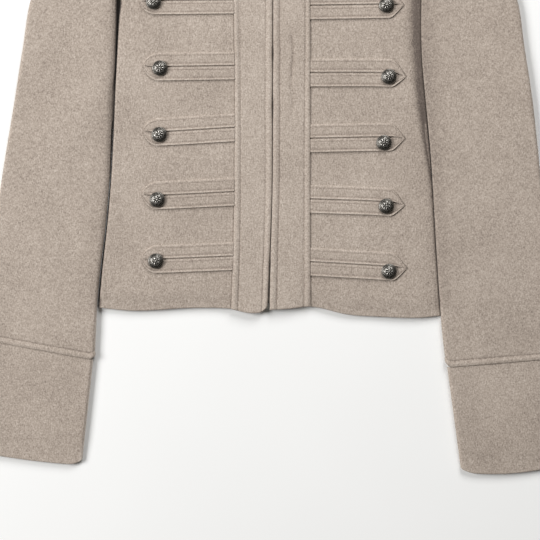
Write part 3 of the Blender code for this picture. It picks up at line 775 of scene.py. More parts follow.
def tube_section(start, end, rise, folds, upper, lift):
    """One face of a flattened tube, from the fold at start to the fold at end."""
    span = math.dist(start, end)
    near = list(reversed(fold_path(folds[0])))
    first = folds[0].reach + folds[0].hollow
    flat = [(lerp(first, span - folds[1].reach, share), 0.0) for share in TUBE_SHARES[1:-1]]
    steps = near + flat + [(span - inset, fall) for inset, fall in fold_path(folds[1])]
    points = []
    for out, fall in steps:
        share = out / span
        z = rise - fall if upper else fall
        points.append((lerp(start[0], end[0], share), lerp(start[1], end[1], share) + lift(share), z))
    return points


def corner_lift(height, reach, bow=0.0):
    """A rounded inner corner beside a bowed end: the lift at each share of the way across."""
    return lambda share: height * max(0.0, 1 - share / reach) ** 2 - bow * 4 * share * (1 - share)


def sleeve_ends(side, station):
    """The inner and outer edge of a sleeve at a station, and its corner's lift."""
    last = len(side.sleeve)
    seam = side.seam
    keys = list(range(last + 1))
    outer_out = smooth(keys, [row.outer_out for row in side.sleeve] + [seam.outer_out], station)
    outer_up = smooth(keys, [row.outer_up for row in side.sleeve] + [seam.outer_up], station)
    inner_up = smooth(keys, [row.inner_up for row in side.sleeve] + [seam.inner_up], station)
    inner_out = side_out(side, inner_up) + along(side.line, "up", "clear", inner_up)
    corner = seam.corner * float(ease(station, last * CORNER_START, last))
    return (side.sign * inner_out, inner_up), (side.sign * outer_out, outer_up), corner


def sleeve_rows(side, upper):
    """Rows of points down one face of a sleeve, from the shoulder to the cuff."""
    last = len(side.sleeve)
    closed_drop = SLEEVE_RISE / 2 - SEAM_GAP / 2
    near_seam = [last - step / STATION_LENGTH for step in (*NEAR_SEAM, *LIP[::-1])]
    rows = []
    for station in (*EVEN_STATIONS, *near_seam):
        start, end, corner = sleeve_ends(side, station)
        most = math.dist(start, end) * MOST_FOLD
        inner = side_fold(side, "sleeve_fold", start[1], SLEEVE_RISE, upper)
        hollow = along(side.line, "up", "hollow", start[1]) if upper else 0.0
        inner = Fold(min(inner.reach, most), inner.drop, min(max(hollow, 0.0), most))
        outer = Fold(min(closed_drop, most), closed_drop)
        lift = corner_lift(corner, SLEEVE_CORNER_SHARE)
        rows.append(tube_section(start, end, SLEEVE_RISE, (inner, outer), upper, lift))
    return np.array(rows)


def cuff_rows(side, pitch):
    """Rows of points all round a cuff, from the sleeve down to its open end."""
    inner, outer, _ = sleeve_ends(side, len(side.sleeve))
    tuck = CUFF_INSET / math.dist(inner, outer)
    near_top = [lerp(inner[axis], outer[axis], tuck) - CUFF_GAP * axis for axis in (0, 1)]
    far_top = [lerp(outer[axis], inner[axis], tuck) - CUFF_GAP * axis for axis in (0, 1)]
    near_end = (side.sign * side.cuff.inner_out, side.cuff.inner_up)
    far_end = (side.sign * side.cuff.outer_out, side.cuff.outer_up)
    rows = []
    for share in spread(CUFF_LENGTH, pitch):
        rise = CUFF_RISE - CUFF_PRESS * float(ease(share, CUFF_PRESS_START, 1.0))
        fold = Fold(rise / 2, rise / 2)
        start = [lerp(high, low, share) for high, low in zip(near_top, near_end)]
        end = [lerp(high, low, share) for high, low in zip(far_top, far_end)]
        lift = corner_lift(side.cuff.corner * share, CUFF_CORNER_SHARE, side.cuff.bow * share)
        upper, lower = [tube_section(start, end, rise, (fold, fold), face, lift) for face in (True, False)]
        rows.append(upper + lower[-2:0:-1])
    return np.array(rows)


# The collar

def neckline(side, upper, pitch):
    """The neck edge of a front, or of half the back, as places out and up."""
    top = front_top if upper else back_top
    places = []
    for share in body_shares(pitch, upper):
        if share <= NECK_SHARE:
            up = top(SHOULDER_OUT * share)
            places.append((body_out(side, share, up, upper), up))
    return places


def collar_columns(side, pitch):
    """Half the collar, from its front end round to the middle of the back."""
    fold = fold_path(Fold(COLLAR_FOLD, BODY_RISE / 2))
    front, back = neckline(side, True, pitch), neckline(side, False, pitch)
    tip = front[-1][0] + COLLAR_LAP
    beside = tip - COLLAR_FOLD - COLLAR_LAP
    start = centre_x(NECK_FRONT) * side.sign + COLLAR_START
    front_outs, front_ups = zip(*front)
    back_outs, back_ups = zip(*back)
    close = [start + step for step in LIP]
    columns = [(out, BODY_RISE, True) for out in close]
    columns += [(out, BODY_RISE, True) for out, _ in front if close[-1] + COLLAR_LAP < out < beside]
    columns += [(tip - inset, BODY_RISE - fall, True) for inset, fall in fold]
    columns += [(tip - inset, fall, False) for inset, fall in reversed(fold[:-1])]
    columns += [(out, 0.0, False) for out, _ in reversed(back) if out < beside]
    made = []
    for out, rise, upper in columns:
        outs, ups = (front_outs, front_ups) if upper else (back_outs, back_ups)
        made.append((side.sign * out, float(np.interp(out, outs, ups)) + COLLAR_GAP, rise))
    return made


def collar_rows(pitch):
    """Rows of points up the collar from the neckline."""
    ring = np.array(collar_columns(LEFT, pitch) + collar_columns(RIGHT, pitch)[-2::-1])
    rows = []
    for share in spread(COLLAR_HEIGHT, pitch):
        narrow = 1 - COLLAR_TAPER * share
        rows.append(ring * (narrow, 1.0, 1.0) + (0.0, COLLAR_HEIGHT * share, 0.0))
    return np.array(rows)


# Plackets, straps and tape

def placket_rows(side, face, pitch):
    """Rows of points on a placket, from the opening out to its outer edge."""
    rows = []
    for up in spread(BODY_LENGTH, pitch):
        row = []
        for share in spread(PLACKET_WIDTH, PLACKET_PITCH):
            out = lerp(0.0, placket_out(side, 0.0), share)
            y = lerp(hem_up(side, out), front_top(out) - PLACKET_TOP_GAP, up)
            inner = centre_x(y) * side.sign + opening_half(y)
            row.append((side.sign * lerp(inner, placket_out(side, y), share), y, face))
        rows.append(row)
    return np.array(rows)


def rounded(guides):
    """A soft line led by its guide points, which it meets only at its start."""
    points = [guides[0]]
    for before, here, after in zip(guides, guides[1:], guides[2:]):
        start, end = (before + here) / 2, (here + after) / 2
        for turn in CURVE_STEPS:
            points.append(start * (1 - turn) ** 2 + here * 2 * turn * (1 - turn) + end * turn**2)
    return np.array(points)


def strap_edge(side, corner, tip):
    """The outer edge of a strap's end: a round corner, a slope that bows out and a blunt point."""
    slope = np.array((tip - corner, -TAB_HALF))
    reach = np.linalg.norm(slope)
    slope /= reach
    bow = np.array((-slope[1], slope[0])) * side.strap_full
    bend = np.array((corner, TAB_HALF))
    guides = [bend - (side.strap_round, 0.0), bend]
    for place in (side.strap_round, reach / 2, reach - TAB_BLUNT, reach):
        share = place / reach
        guides.append(bend + slope * place + bow * 4 * share * (1 - share))
    guides.append(guides[-2] * (1.0, -1.0))
    line = rounded(guides)
    return line[line[:, 1] >= -1e-9]


def walk(points, shares):
    """Places at shares of the way along a broken line."""
    steps = np.linalg.norm(np.diff(points, axis=0), axis=1)
    lengths = np.concatenate([[0.0], np.cumsum(steps)])
    at = np.array(shares) * lengths[-1]
    return np.stack([np.interp(at, lengths, points[:, axis]) for axis in range(points.shape[1])], axis=-1)


def strap_sections(side, length):
    """The inner and outer end of each line across a strap, from one root round its point to the other."""
    corner, stop = length - TAB_POINT, length - TAB_SLIT_STOP
    turn_start = corner - side.strap_round
    runs = spread(turn_start, STRAP_PITCH, end=(0.0,))
    inner = [(share * turn_start, TAB_SLIT / 2) for share in runs]
    outer = [(share * turn_start, TAB_HALF) for share in runs]
    inner += [(lerp(turn_start, stop, turn), TAB_SLIT / 2 * (1 - turn**6)) for turn in STRAP_TURNS]
    outer += [tuple(place) for place in walk(strap_edge(side, corner, length), STRAP_TURNS)]
    inner += [(along_run, -across) for along_run, across in inner[-2::-1]]
    outer += [(along_run, -across) for along_run, across in outer[-2::-1]]
    return np.array(inner), np.array(outer)


def strap_steps(inset):
    """Distances across a strap from its slit to its outer edge, with a step on each stitched line."""
    near = list(LIP[:-1]) + [inset * share for share in STRAP_MARKS]
    width = TAB_HALF - TAB_SLIT / 2
    return np.array(near + [width / 2] + [width - step for step in near[::-1]]), width


def strap_mix(outer, edges):
    """Join a puffed and a pressed value at the slit and at the rim: the lower edge of each half is puffed."""
    upper = (outer[:, 1:] / TAB_HALF + 1) / 2
    slit, rim = edges
    return upper * (slit[0] + rim[1]) + (1 - upper) * (slit[1] + rim[0])


def strap_relief(outer, steps, width, inset, looks):
    """How a strap stands: the lower edge of each half puffs up, and the upper one lies pressed flat."""
    edges = []
    for distance in (steps, width - steps):
        groove = looks.groove / MM * bell(distance, inset, STRAP_GROOVE)
        puffed = looks.strap_ridge / MM * bell(distance, *STRAP_PUFF) - groove
        pressed = -looks.strap_press / MM * bell(distance, *STRAP_FLAT) - PRESSED_GROOVE * groove
        edges.append((puffed, pressed))
    return strap_mix(outer, edges)


def strap_shade(inner, outer, steps, width, inset, length):
    """Painted light on the lower edge of each half of a strap, and painted shade on its stitching and past
    its button.
    """
    edges = []
    for distance in (steps, width - steps):
        stitch = STRAP_STITCH_SHADE * bell(distance, inset, STRAP_GROOVE)
        puffed = stitch - STRAP_LIGHT * bell(distance, *STRAP_LIGHT_LINE)
        pressed = stitch - STRAP_RIM_LIGHT * bell(distance, *STRAP_RIM_LINE)
        edges.append((puffed, pressed))
    past_button = ease(inner[:, :1], length - SLIT_END[0], length - SLIT_END[1])
    return strap_mix(outer, edges) + SLIT_END_SHADE * past_button * bell(steps, *SLIT_END_LINE)


def strap_rows(side, row, face, looks):
    """Rows of points on a strap, which runs out, turns at its point and runs back, and their painted shade.
    """
    inset = looks.tab_inset / MM
    root = placket_out(side, row.root_up) + TAB_ROOT_GAP
    length = row.tip_out - root
    inner, outer = strap_sections(side, length)
    steps, width = strap_steps(inset)
    keys = [0.0, length - TAB_POINT, length]
    heights = [row.root_up, row.end_up, row.tip_up]
    rows = []
    for near, far in zip(inner, outer):
        line = near + (far - near) * (steps / width)[:, None]
        centre = [smooth(keys, heights, along_run) for along_run in line[:, 0]]
        ups = line[:, 1] + np.array(centre)
        lean = np.array([placket_out(side, up) for up in ups]) + TAB_ROOT_GAP - root
        outs = root + line[:, 0] + lean * (1 - line[:, 0] / length)
        rows.append(np.stack([side.sign * outs, ups, np.full(len(steps), face)], axis=-1))
    grid = np.array(rows)
    grid[..., 2] += strap_relief(outer, steps, width, inset, looks)
    return grid, strap_shade(inner, outer, steps, width, inset, length)


def tape_rows(sign, pitch):
    """Rows of points on a zip tape beside the teeth."""
    inner = CHAIN_WIDTH / 2 + SEAM_GAP
    rows = []
    for up in spread(TAPE_ENDS[1] - TAPE_ENDS[0], pitch):
        y = lerp(*TAPE_ENDS, up)
        edges = [inner + TAPE_WIDTH * share for share in spread(TAPE_WIDTH, TAPE_PITCH)]
        rows.append([(centre_x(y) + sign * out, y, TAPE_TOP) for out in edges])
    return np.array(rows)


# How the cloth lies and how stitching shapes it

def creased(rows, grid):
    """The sum of soft ridges and troughs at each point of a grid."""
    x, y = grid[..., 0], grid[..., 1]
    height = np.zeros_like(x)
    for row in rows:
        turn = math.radians(row.angle)
        run = (x - row.x) * math.cos(turn) + (y - row.y) * math.sin(turn)
        across = (y - row.y) * math.cos(turn) - (x - row.x) * math.sin(turn)
        height += row.height * np.exp(-((run / row.reach) ** 2) - (across / row.width) ** 2)
    return height


def lie(grid, heights, floor):
    """Move the upper part of a panel by its creases, and leave its folded edges."""
    weight = np.clip((grid[..., 2] - floor) / floor, 0.0, 1.0)
    grid[..., 2] += weight * heights
    return grid


def front_lie(grid):
    """How a front, or a band on it, rises in its creases and is pressed flat along its hem."""
    up, _, _, _ = edge_distances(grid)
    beside = np.abs(grid[..., 0] - centre_x(0.0))
    press = HEM_PRESS * (1 - ease(up, 0.0, HEM_REACH)) * ease(beside, *HEM_FREE)
    return creased(FRONT_CREASES, grid) - press


def edge_distances(grid):
    """How far each point lies from the first and last row and the first and last column."""
    down = np.linalg.norm(np.diff(grid, axis=0), axis=2)
    first = np.concatenate([np.zeros((1, grid.shape[1])), np.cumsum(down, axis=0)])
    across = np.linalg.norm(np.diff(grid, axis=1), axis=2)
    near = np.concatenate([np.zeros((grid.shape[0], 1)), np.cumsum(across, axis=1)], axis=1)
    return first, first[-1] - first, near, near[:, -1:] - near


def stitch_ridge(distance, inset):
    """The ridge between an edge and its stitching."""
    return bell(distance, RIDGE_AT * inset, RIDGE_WIDTH * inset)


def stitched(distance, inset, looks):
    """How high the cloth stands beside a stitched edge: a ridge, then a groove at the thread."""
    groove = looks.groove / MM * bell(distance, inset, GROOVE_WIDTH)
    return looks.ridge / MM * stitch_ridge(distance, inset) - groove


def stitch_shade(distance, inset, weight):
    """Painted shade on a stitched line, and painted light on the ridge beside it."""
    return weight * bell(distance, inset, STITCH_WIDTH) - RIDGE_LIGHT * stitch_ridge(distance, inset)


def crease_shade(grid):
    """Painted shade down narrow creases."""
    narrow = [row for row in FRONT_CREASES + SLEEVE_CREASES if row.width < NARROW_CREASE]
    return -CREASE_SHADE * creased(narrow, grid)


def nearest_column(distance, inset):
    """The column of points that lies on a stitched line."""
    middle = distance[distance.shape[0] // 2]
    return int(np.argmin(np.abs(middle - inset)))


# Meshes

def to_part(points):
    """Points in millimetres from the hem, as metres in the part's frame."""
    return (np.asarray(points, float) - (0.0, ORIGIN_ABOVE_HEM, 0.0)) * MM


def add_object(name, data):
    """A new object in the scene."""
    made = bpy.data.objects.new(name, data)
    bpy.context.scene.collection.objects.link(made)
    return made


def add_mesh(name, points, faces, material):
    """A smooth mesh object from points in millimetres."""
    mesh = bpy.data.meshes.new(name)
    mesh.from_pydata(to_part(points).tolist(), [], faces)
    mesh.materials.append(material)
    mesh.shade_smooth()
    return add_object(name, mesh)


def normals_of(grid, ring):
    """The direction that each point of a grid faces."""
    if ring:
        across = np.roll(grid, -1, axis=1) - np.roll(grid, 1, axis=1)
    else:
        across = np.gradient(grid, axis=1)
    faces = np.cross(across, np.gradient(grid, axis=0))
    return faces / np.maximum(np.linalg.norm(faces, axis=2, keepdims=True), 1e-9)


def quads(index, ring):
    """The faces between rows of point numbers."""
    if ring:
        index = np.concatenate([index, index[:, :1]], axis=1)
    corners = (index[:-1, :-1], index[:-1, 1:], index[1:, 1:], index[1:, :-1])
    return np.stack(corners, axis=-1).reshape(-1, 4)


def edge_tucks(grid, wall, ring, sewn):
    """How far the outer and inner faces of a wall draw together at its edges."""
    first, last, near, far = edge_distances(grid)
    ends, sides = np.minimum(first, last), np.minimum(near, far)
    both = np.minimum(ends, sides)
    edge = {"round": ends if ring else both, "end": last, "down": both, "sides": sides}[sewn]
    soft = sewn in ("round", "end")
    radius = wall / 2 if soft else wall
    inward = np.clip(1 - edge / radius, 0.0, 1.0)
    tuck = radius * (1 - np.sqrt(1 - inward**2))
    return tuck, tuck if soft else 0 * tuck


def shell(name, grid, wall, material, outward, ring, sewn, shade, inner_painted_shade):
    """Cloth from a grid on its outer face: a closed wall with round edges, or edges sewn down."""
    facing = normals_of(grid, ring) * (1 if outward else -1)
    outer_tuck, inner_tuck = edge_tucks(grid, wall, ring, sewn)
    outer = grid - facing * outer_tuck[..., None]
    inner = grid - facing * (wall - inner_tuck)[..., None]
    count = grid.shape[0] * grid.shape[1]
    outer_index = np.arange(count).reshape(grid.shape[:2])
    inside = np.zeros(grid.shape[:2], bool)
    inside[1:-1, slice(None) if ring else slice(1, -1)] = True
    inner_index = outer_index.copy()
    inner_index[inside] = count + np.arange(inside.sum())
    points = np.concatenate([outer.reshape(-1, 3), inner[inside]])
    upper, lower = quads(outer_index, ring), quads(inner_index, ring)
    faces = [upper, lower[:, ::-1]] if outward else [upper[:, ::-1], lower]
    made = add_mesh(name, points, np.concatenate(faces).tolist(), material)
    # Painted shade: a value at each point, on the outer face and on the inner one, that darkens or lightens
    # the wool's colour
    if shade is not None:
        within = shade if inner_painted_shade is None else inner_painted_shade
        values = np.concatenate([shade.ravel(), within[inside]]).astype(np.float32)
        made.data.attributes.new("shade", "FLOAT", "POINT").data.foreach_set("value", values)
    return made


def add_cloth(
    name, grid, wall, material, outward, ring=False, sewn="round",
    shade=None, inner_painted_shade=None,
):
    """A sheet of cloth that stands for its solid, which it hides."""
    made = shell(name + "_cloth", grid, wall, material, outward, ring, sewn, shade, inner_painted_shade)
    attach(made, BODY)
    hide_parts(name)
    return made


# A stitch: rings along it, sides of its thread, and how far it sinks, as a share of its thickness
RINGS = 5
SIDES_OF_THREAD = 6
STITCH_SINK = 0.45


def stitch_row(line, looks):
    """Points and faces of a row of stitches along a line, each a thread that dips at both ends."""
    line = np.asarray(line, float)
    lengths = np.concatenate([[0.0], np.cumsum(np.linalg.norm(np.diff(line, axis=0), axis=1))])
    size, thick = looks.length / MM, looks.thickness / MM
    pitch = size + looks.space / MM
    count = int(lengths[-1] // pitch)
    starts = (lengths[-1] - count * pitch) / 2 + pitch * np.arange(count)
    t = np.linspace(0, 1, RINGS)
    at = starts[:, None] + size * t
    centre = np.stack([np.interp(at, lengths, line[:, axis]) for axis in range(3)], axis=-1)
    run = centre[:, -1] - centre[:, 0]
    run /= np.maximum(np.linalg.norm(run, axis=1, keepdims=True), 1e-9)
    across = np.cross(run, (0.0, 0.0, 1.0))[:, None, None, :]
    arch = np.sin(np.pi * t)
    centre[..., 2] += thick * (arch - STITCH_SINK)
    radius = thick / 2 * (0.5 + 0.5 * arch)[None, :, None, None]
    turn = np.arange(SIDES_OF_THREAD) * 2 * np.pi / SIDES_OF_THREAD
    rise = np.array((0.0, 0.0, 1.0))
    spokes = across * np.cos(turn)[None, None, :, None] + rise * np.sin(turn)[None, None, :, None]
    points = (centre[:, :, None, :] + radius * spokes).reshape(-1, 3)
    faces = []
    per_stitch = RINGS * SIDES_OF_THREAD
    for stitch in range(count):
        index = np.arange(per_stitch).reshape(RINGS, SIDES_OF_THREAD) + stitch * per_stitch
        faces += quads(index, True).tolist()
        faces += [index[0, ::-1].tolist(), index[-1].tolist()]
    return points, faces


def add_stitching(name, lines, material):
    """All the stitches of a piece as one mesh."""
    looks = bpy.context.scene.jacket_stitch
    points, faces = [], []
    total = 0
    for line in lines:
        new_points, new_faces = stitch_row(line, looks)
        faces += [[corner + total for corner in face] for face in new_faces]
        points.append(new_points)
        total += len(new_points)
    made = add_mesh(name + "_stitching", np.concatenate(points), faces, material)
    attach(made, BODY)
    return made


# Materials

# Fibres of the wool: how they are stretched across, along and through it, and how they are turned
FIBRES = (
    ((1500.0, 300.0, 700.0), 0.55),
    ((1500.0, 300.0, 700.0), -0.75),
    ((260.0, 1400.0, 700.0), 0.15),
)


def set_inputs(node, values):
    """Set values on a node's own sockets."""
    for key, value in values.items():
        node.inputs[key].default_value = value


def add_node(tree, kind, inputs=None, **settings):
    """A shader node with its settings and the values of its inputs."""
    made = tree.nodes.new(kind)
    for key, value in settings.items():
        setattr(made, key, value)
    set_inputs(made, inputs or {})
    return made


def noise(tree, place, scale, detail=3.0, roughness=0.6, stretch=None, turn=0.0):
    """Noise at a scale given in features per metre, stretched and turned where asked."""
    made = add_node(tree, "ShaderNodeTexNoise", {"Scale": scale, "Detail": detail, "Roughness": roughness})
    source = place
    if stretch:
        mapping = add_node(tree, "ShaderNodeMapping", {"Rotation": (0.0, 0.0, turn), "Scale": stretch})
        tree.links.new(place, mapping.inputs["Vector"])
        source = mapping.outputs["Vector"]
    tree.links.new(source, made.inputs["Vector"])
    return made.outputs["Fac"]


def weighted(tree, parts):
    """The sum of values, each times its weight."""
    total = None
    for value, weight in parts:
        made = add_node(tree, "ShaderNodeMath", {1: weight, 2: 0.0}, operation="MULTIPLY_ADD")
        tree.links.new(value, made.inputs[0])
        if total:
            tree.links.new(total, made.inputs[2])
        total = made.outputs["Value"]
    return total


def coloured(tree, shader, value, stops):
    """Colour a shader along a value, by stops that are each a place and a colour."""
    made = tree.nodes.new("ShaderNodeValToRGB")
    elements = made.color_ramp.elements
    while len(elements) < len(stops):
        elements.new(0.5)
    for element, (place, colour) in zip(elements, stops):
        element.position = place
        element.color = (*colour, 1.0)
    tree.links.new(value, made.inputs["Fac"])
    tree.links.new(made.outputs["Color"], shader.inputs["Base Color"])


def roughened(tree, shader, value, span, roughness):
    """Let a shader's roughness follow a value over its span, from one roughness to another."""
    limits = ("From Min", "From Max", "To Min", "To Max")
    made = add_node(tree, "ShaderNodeMapRange", dict(zip(limits, (*span, *roughness))))
    tree.links.new(value, made.inputs["Value"])
    tree.links.new(made.outputs["Result"], shader.inputs["Roughness"])


def bumped(tree, shader, value, strength, distance):
    """Give a shader small relief from a value."""
    made = add_node(tree, "ShaderNodeBump", {"Strength": strength, "Distance": distance})
    tree.links.new(value, made.inputs["Height"])
    tree.links.new(made.outputs["Normal"], shader.inputs["Normal"])


def point_value(tree, name):
    """A value that the mesh holds at its points."""
    return add_node(tree, "ShaderNodeAttribute", attribute_name=name).outputs["Fac"]


def dimmed(colour, share):
    """A colour at a share of its strength."""
    return [value * share for value in colour]


def wool_flannel(tree, shader, place):
    """Melange wool flannel: pale and dark fibres, a felted surface, a soft nap, and painted shade and light
    from the mesh's shade value.
    """
    looks = bpy.context.scene.jacket_wool
    speck = noise(tree, place, 520.0, 4.0, 0.75)
    clump = noise(tree, place, 120.0, 2.0, 0.5)
    cloud = noise(tree, place, 14.0, 2.0, 0.5)
    fibres = [noise(tree, place, 1.0, 2.0, 0.6, stretch, turn) for stretch, turn in FIBRES]
    mottle = weighted(tree, [(speck, 0.42), *zip(fibres, (0.2, 0.2, 0.12)), (clump, 0.06)])
    # Painted shade and painted light: the mesh's shade value darkens the tone, or lightens it where it is
    # below nothing
    tone = weighted(tree, [(mottle, 1.0), (cloud, 0.08), (point_value(tree, "shade"), -0.45)])
    # A near-black colour, reached where shade is painted deep in the folds
    deep = dimmed(looks.dark, 0.08)
    coloured(tree, shader, tone, ((0.10, deep), (0.40, looks.dark), (0.54, looks.base), (0.68, looks.pale)))
    set_inputs(shader, {
        "Roughness": 0.95,
        "Specular IOR Level": 0.15,
        "Sheen Weight": 0.22,
        "Sheen Roughness": 0.45,
        "Sheen Tint": (1.0, 0.95, 0.9, 1.0),
    })
    felt = weighted(tree, [(fibres[0], 0.4), (fibres[1], 0.4), (speck, 0.5)])
    bumped(tree, shader, felt, 0.35, 0.4 * MM)


def sewing_thread(tree, shader, place):
    """Matt sewing thread in the wool's own colour."""
    looks = bpy.context.scene.jacket_wool
    twist = noise(tree, place, 1600.0, 2.0)
    coloured(tree, shader, twist, ((0.35, dimmed(looks.thread, 0.8)), (0.65, looks.thread)))
    set_inputs(shader, {"Roughness": 0.7, "Sheen Weight": 0.1})
    bumped(tree, shader, twist, 0.3, 0.1 * MM)


def zip_weave(tree, shader, place):
    """Woven zip tape."""
    looks = bpy.context.scene.jacket_wool
    threads = []
    for direction, scale in (("X", 220.0), ("Y", 260.0)):
        wave = {"Scale": scale, "Distortion": 1.5}
        thread = add_node(tree, "ShaderNodeTexWave", wave, bands_direction=direction)
        tree.links.new(place, thread.inputs["Vector"])
        threads.append((thread.outputs["Fac"], 0.5))
    weave = weighted(tree, threads)
    coloured(tree, shader, weave, ((0.3, dimmed(looks.tape, 0.55)), (0.8, looks.tape)))
    set_inputs(shader, {"Roughness": 0.9})
    bumped(tree, shader, weave, 0.4, 0.2 * MM)


def antique_silver(tree, shader, place):
    """Antique silver: rubbed bright on the heights and dark in the hollows."""
    looks = bpy.context.scene.jacket_button
    height = point_value(tree, "rubbed")
    stain = noise(tree, place, 900.0, 3.0)
    worn = weighted(tree, [(height, 1.0), (stain, 0.5)])
    middle = [lerp(low, high, 0.32) for low, high in zip(looks.dull, looks.bright)]
    coloured(tree, shader, worn, ((0.3, looks.dull), (0.62, middle), (1.0, looks.bright)))
    roughened(tree, shader, worn, (0.3, 1.1), (0.5, 0.34))
    set_inputs(shader, {"Metallic": 1.0})
    bumped(tree, shader, stain, 0.15, 0.1 * MM)


def zip_nickel(tree, shader, place):
    """Worn nickel of the zip."""
    looks = bpy.context.scene.jacket_zip
    wear = noise(tree, place, 700.0, 4.0)
    coloured(tree, shader, wear, ((0.35, dimmed(looks.metal, 0.5)), (0.65, looks.metal)))
    roughened(tree, shader, wear, (0.3, 0.7), (0.46, 0.3))
    set_inputs(shader, {"Metallic": 1.0})
    bumped(tree, shader, wear, 0.1, 0.1 * MM)


def pale_floor(tree, shader, place):
    """A pale matt floor with the faintest unevenness."""
    looks = bpy.context.scene.jacket_stage
    drift = noise(tree, place, 3.0, 2.0)
    coloured(tree, shader, drift, ((0.35, dimmed(looks.floor, 0.985)), (0.65, looks.floor)))
    set_inputs(shader, {"Roughness": 0.9, "Specular IOR Level": 0.1})


FINISHES = {
    "wool_flannel": wool_flannel,
    "sewing_thread": sewing_thread,
    "zip_weave": zip_weave,
    "antique_silver": antique_silver,
    "zip_nickel": zip_nickel,
    "pale_floor": pale_floor,
}


def finish(name):
    """The finish of this name, made for the first piece that asks for it."""
    if name not in bpy.data.materials:
        made = bpy.data.materials.new(name)
        made.use_nodes = True
        tree = made.node_tree
        place = tree.nodes.new("ShaderNodeTexCoord").outputs["Object"]
        FINISHES[name](tree, tree.nodes["Principled BSDF"], place)
    return bpy.data.materials[name]


# Operators

class JACKET_OT_body(Operator):
    """Make the back and the two fronts"""

    bl_idname = "jacket.body"
    bl_label = "Back and fronts"

    def execute(self, context):
        looks = context.scene.jacket_cloth
        wool, wall, pitch = finish("wool_flannel"), looks.wall / MM, looks.pitch / MM
        halves = [body_rows(side, False, pitch * BACK_PITCH) for side in SIDES]
        grid = np.concatenate([halves[0][:, ::-1], halves[1][:, 1:]], axis=1)
        fold = slice(-FOLD_STEPS, None)
        # Painted shade down the back's folds, on its outer face and on its inner one
        faces = []
        for deep in (under_deep, np.ones_like):
            near, far = [fold_shade(side, half, fold, deep) for side, half in zip(SIDES, halves)]
            faces.append(np.concatenate([near[:, ::-1], far[:, 1:]], axis=1))
        shade, inner_painted_shade = faces
        add_cloth("back", grid, wall, wool, False, shade=shade, inner_painted_shade=inner_painted_shade)
        for side in SIDES:
            grid = body_rows(side, True, pitch)
            grid = ditch(side, lie(grid, front_lie(grid), BODY_RISE / 2))
            # Painted shade down the front's fold, in narrow creases and beside the sleeve
            deepest = side.floor + FRONT_RAMP_START
            shade = fold_shade(side, grid, fold, lambda z: 1 - ease(z, deepest, BODY_RISE))
            shade += crease_shade(grid) + side_shade(side, grid, -1) * (side.sign > 0)
            add_cloth("front_" + side.name, grid, wall, wool, side.sign > 0, shade=shade)
        return {"FINISHED"}


class JACKET_OT_sleeves(Operator):
    """Make each sleeve's upper and under piece, with the stitching above its cuff"""

    bl_idname = "jacket.sleeves"
    bl_label = "Sleeves"

    def execute(self, context):
        looks = context.scene.jacket_cloth
        inset = looks.sleeve_inset / MM
        inner = slice(0, FOLD_STEPS + 1)
        for side in SIDES:
            for upper, name in ((True, "sleeve_upper_"), (False, "sleeve_under_")):
                name += side.name
                grid = sleeve_rows(side, upper)
                _, end, _, _ = edge_distances(grid)
                if upper:
                    grid = lie(grid, creased(SLEEVE_CREASES, grid), SLEEVE_RISE / 2)
                relief = stitched(end, inset, looks) * (end < STITCH_REACH * inset)
                grid += normals_of(grid, False) * (-side.sign if upper else side.sign) * relief[..., None]
                if upper:
                    row = int(np.argmin(np.abs(end[:, end.shape[1] // 2] - inset)))
                    line = grid[row, FOLD_STEPS:-FOLD_STEPS]
                    threads = [add_stitching(name, [line], finish("sewing_thread"))]
                    # Painted shade down the fold, on the stitching, in creases and beside the body, and
                    # painted light on the rim below the hem
                    shade = fold_shade(side, grid, inner, lambda z: 1 - ease(z, *SLEEVE_RAMP))
                    shade += stitch_shade(end, inset, SLEEVE_STITCH_SHADE) + crease_shade(grid)
                    shade += side_shade(side, grid, 0) + rim_light(side, grid, SLEEVE_RISE)
                    inner_painted_shade = None
                else:
                    threads = []
                    # Painted shade down the under piece's fold, on both its faces
                    shade = fold_shade(side, grid, inner, under_deep)
                    inner_painted_shade = fold_shade(side, grid, inner, np.ones_like)
                add_cloth(
                    name, grid, looks.wall / MM, finish("wool_flannel"), (side.sign < 0) == upper,
                    shade=shade, inner_painted_shade=inner_painted_shade,
                )
        return {"FINISHED"}


class JACKET_OT_cuffs(Operator):
    """Make the two cuffs"""

    bl_idname = "jacket.cuffs"
    bl_label = "Cuffs"

    def execute(self, context):
        looks = context.scene.jacket_cloth
        for side in SIDES:
            grid = cuff_rows(side, looks.pitch / MM)
            grid = lie(grid, creased(CUFF_CREASES, grid), CUFF_RISE / 2)
            # Painted light on the cuff's inner edge
            add_cloth(
                "cuff_" + side.name, grid, looks.wall / MM, finish("wool_flannel"), side.sign < 0,
                ring=True, sewn="end", shade=rim_light(side, grid, CUFF_RISE),
            )
        return {"FINISHED"}


class JACKET_OT_collar(Operator):
    """Make the stand collar"""

    bl_idname = "jacket.collar"
    bl_label = "Collar"

    def execute(self, context):
        looks = context.scene.jacket_cloth
        grid = collar_rows(looks.pitch / MM)
        add_cloth("collar", grid, looks.wall / MM, finish("wool_flannel"), True)
        return {"FINISHED"}


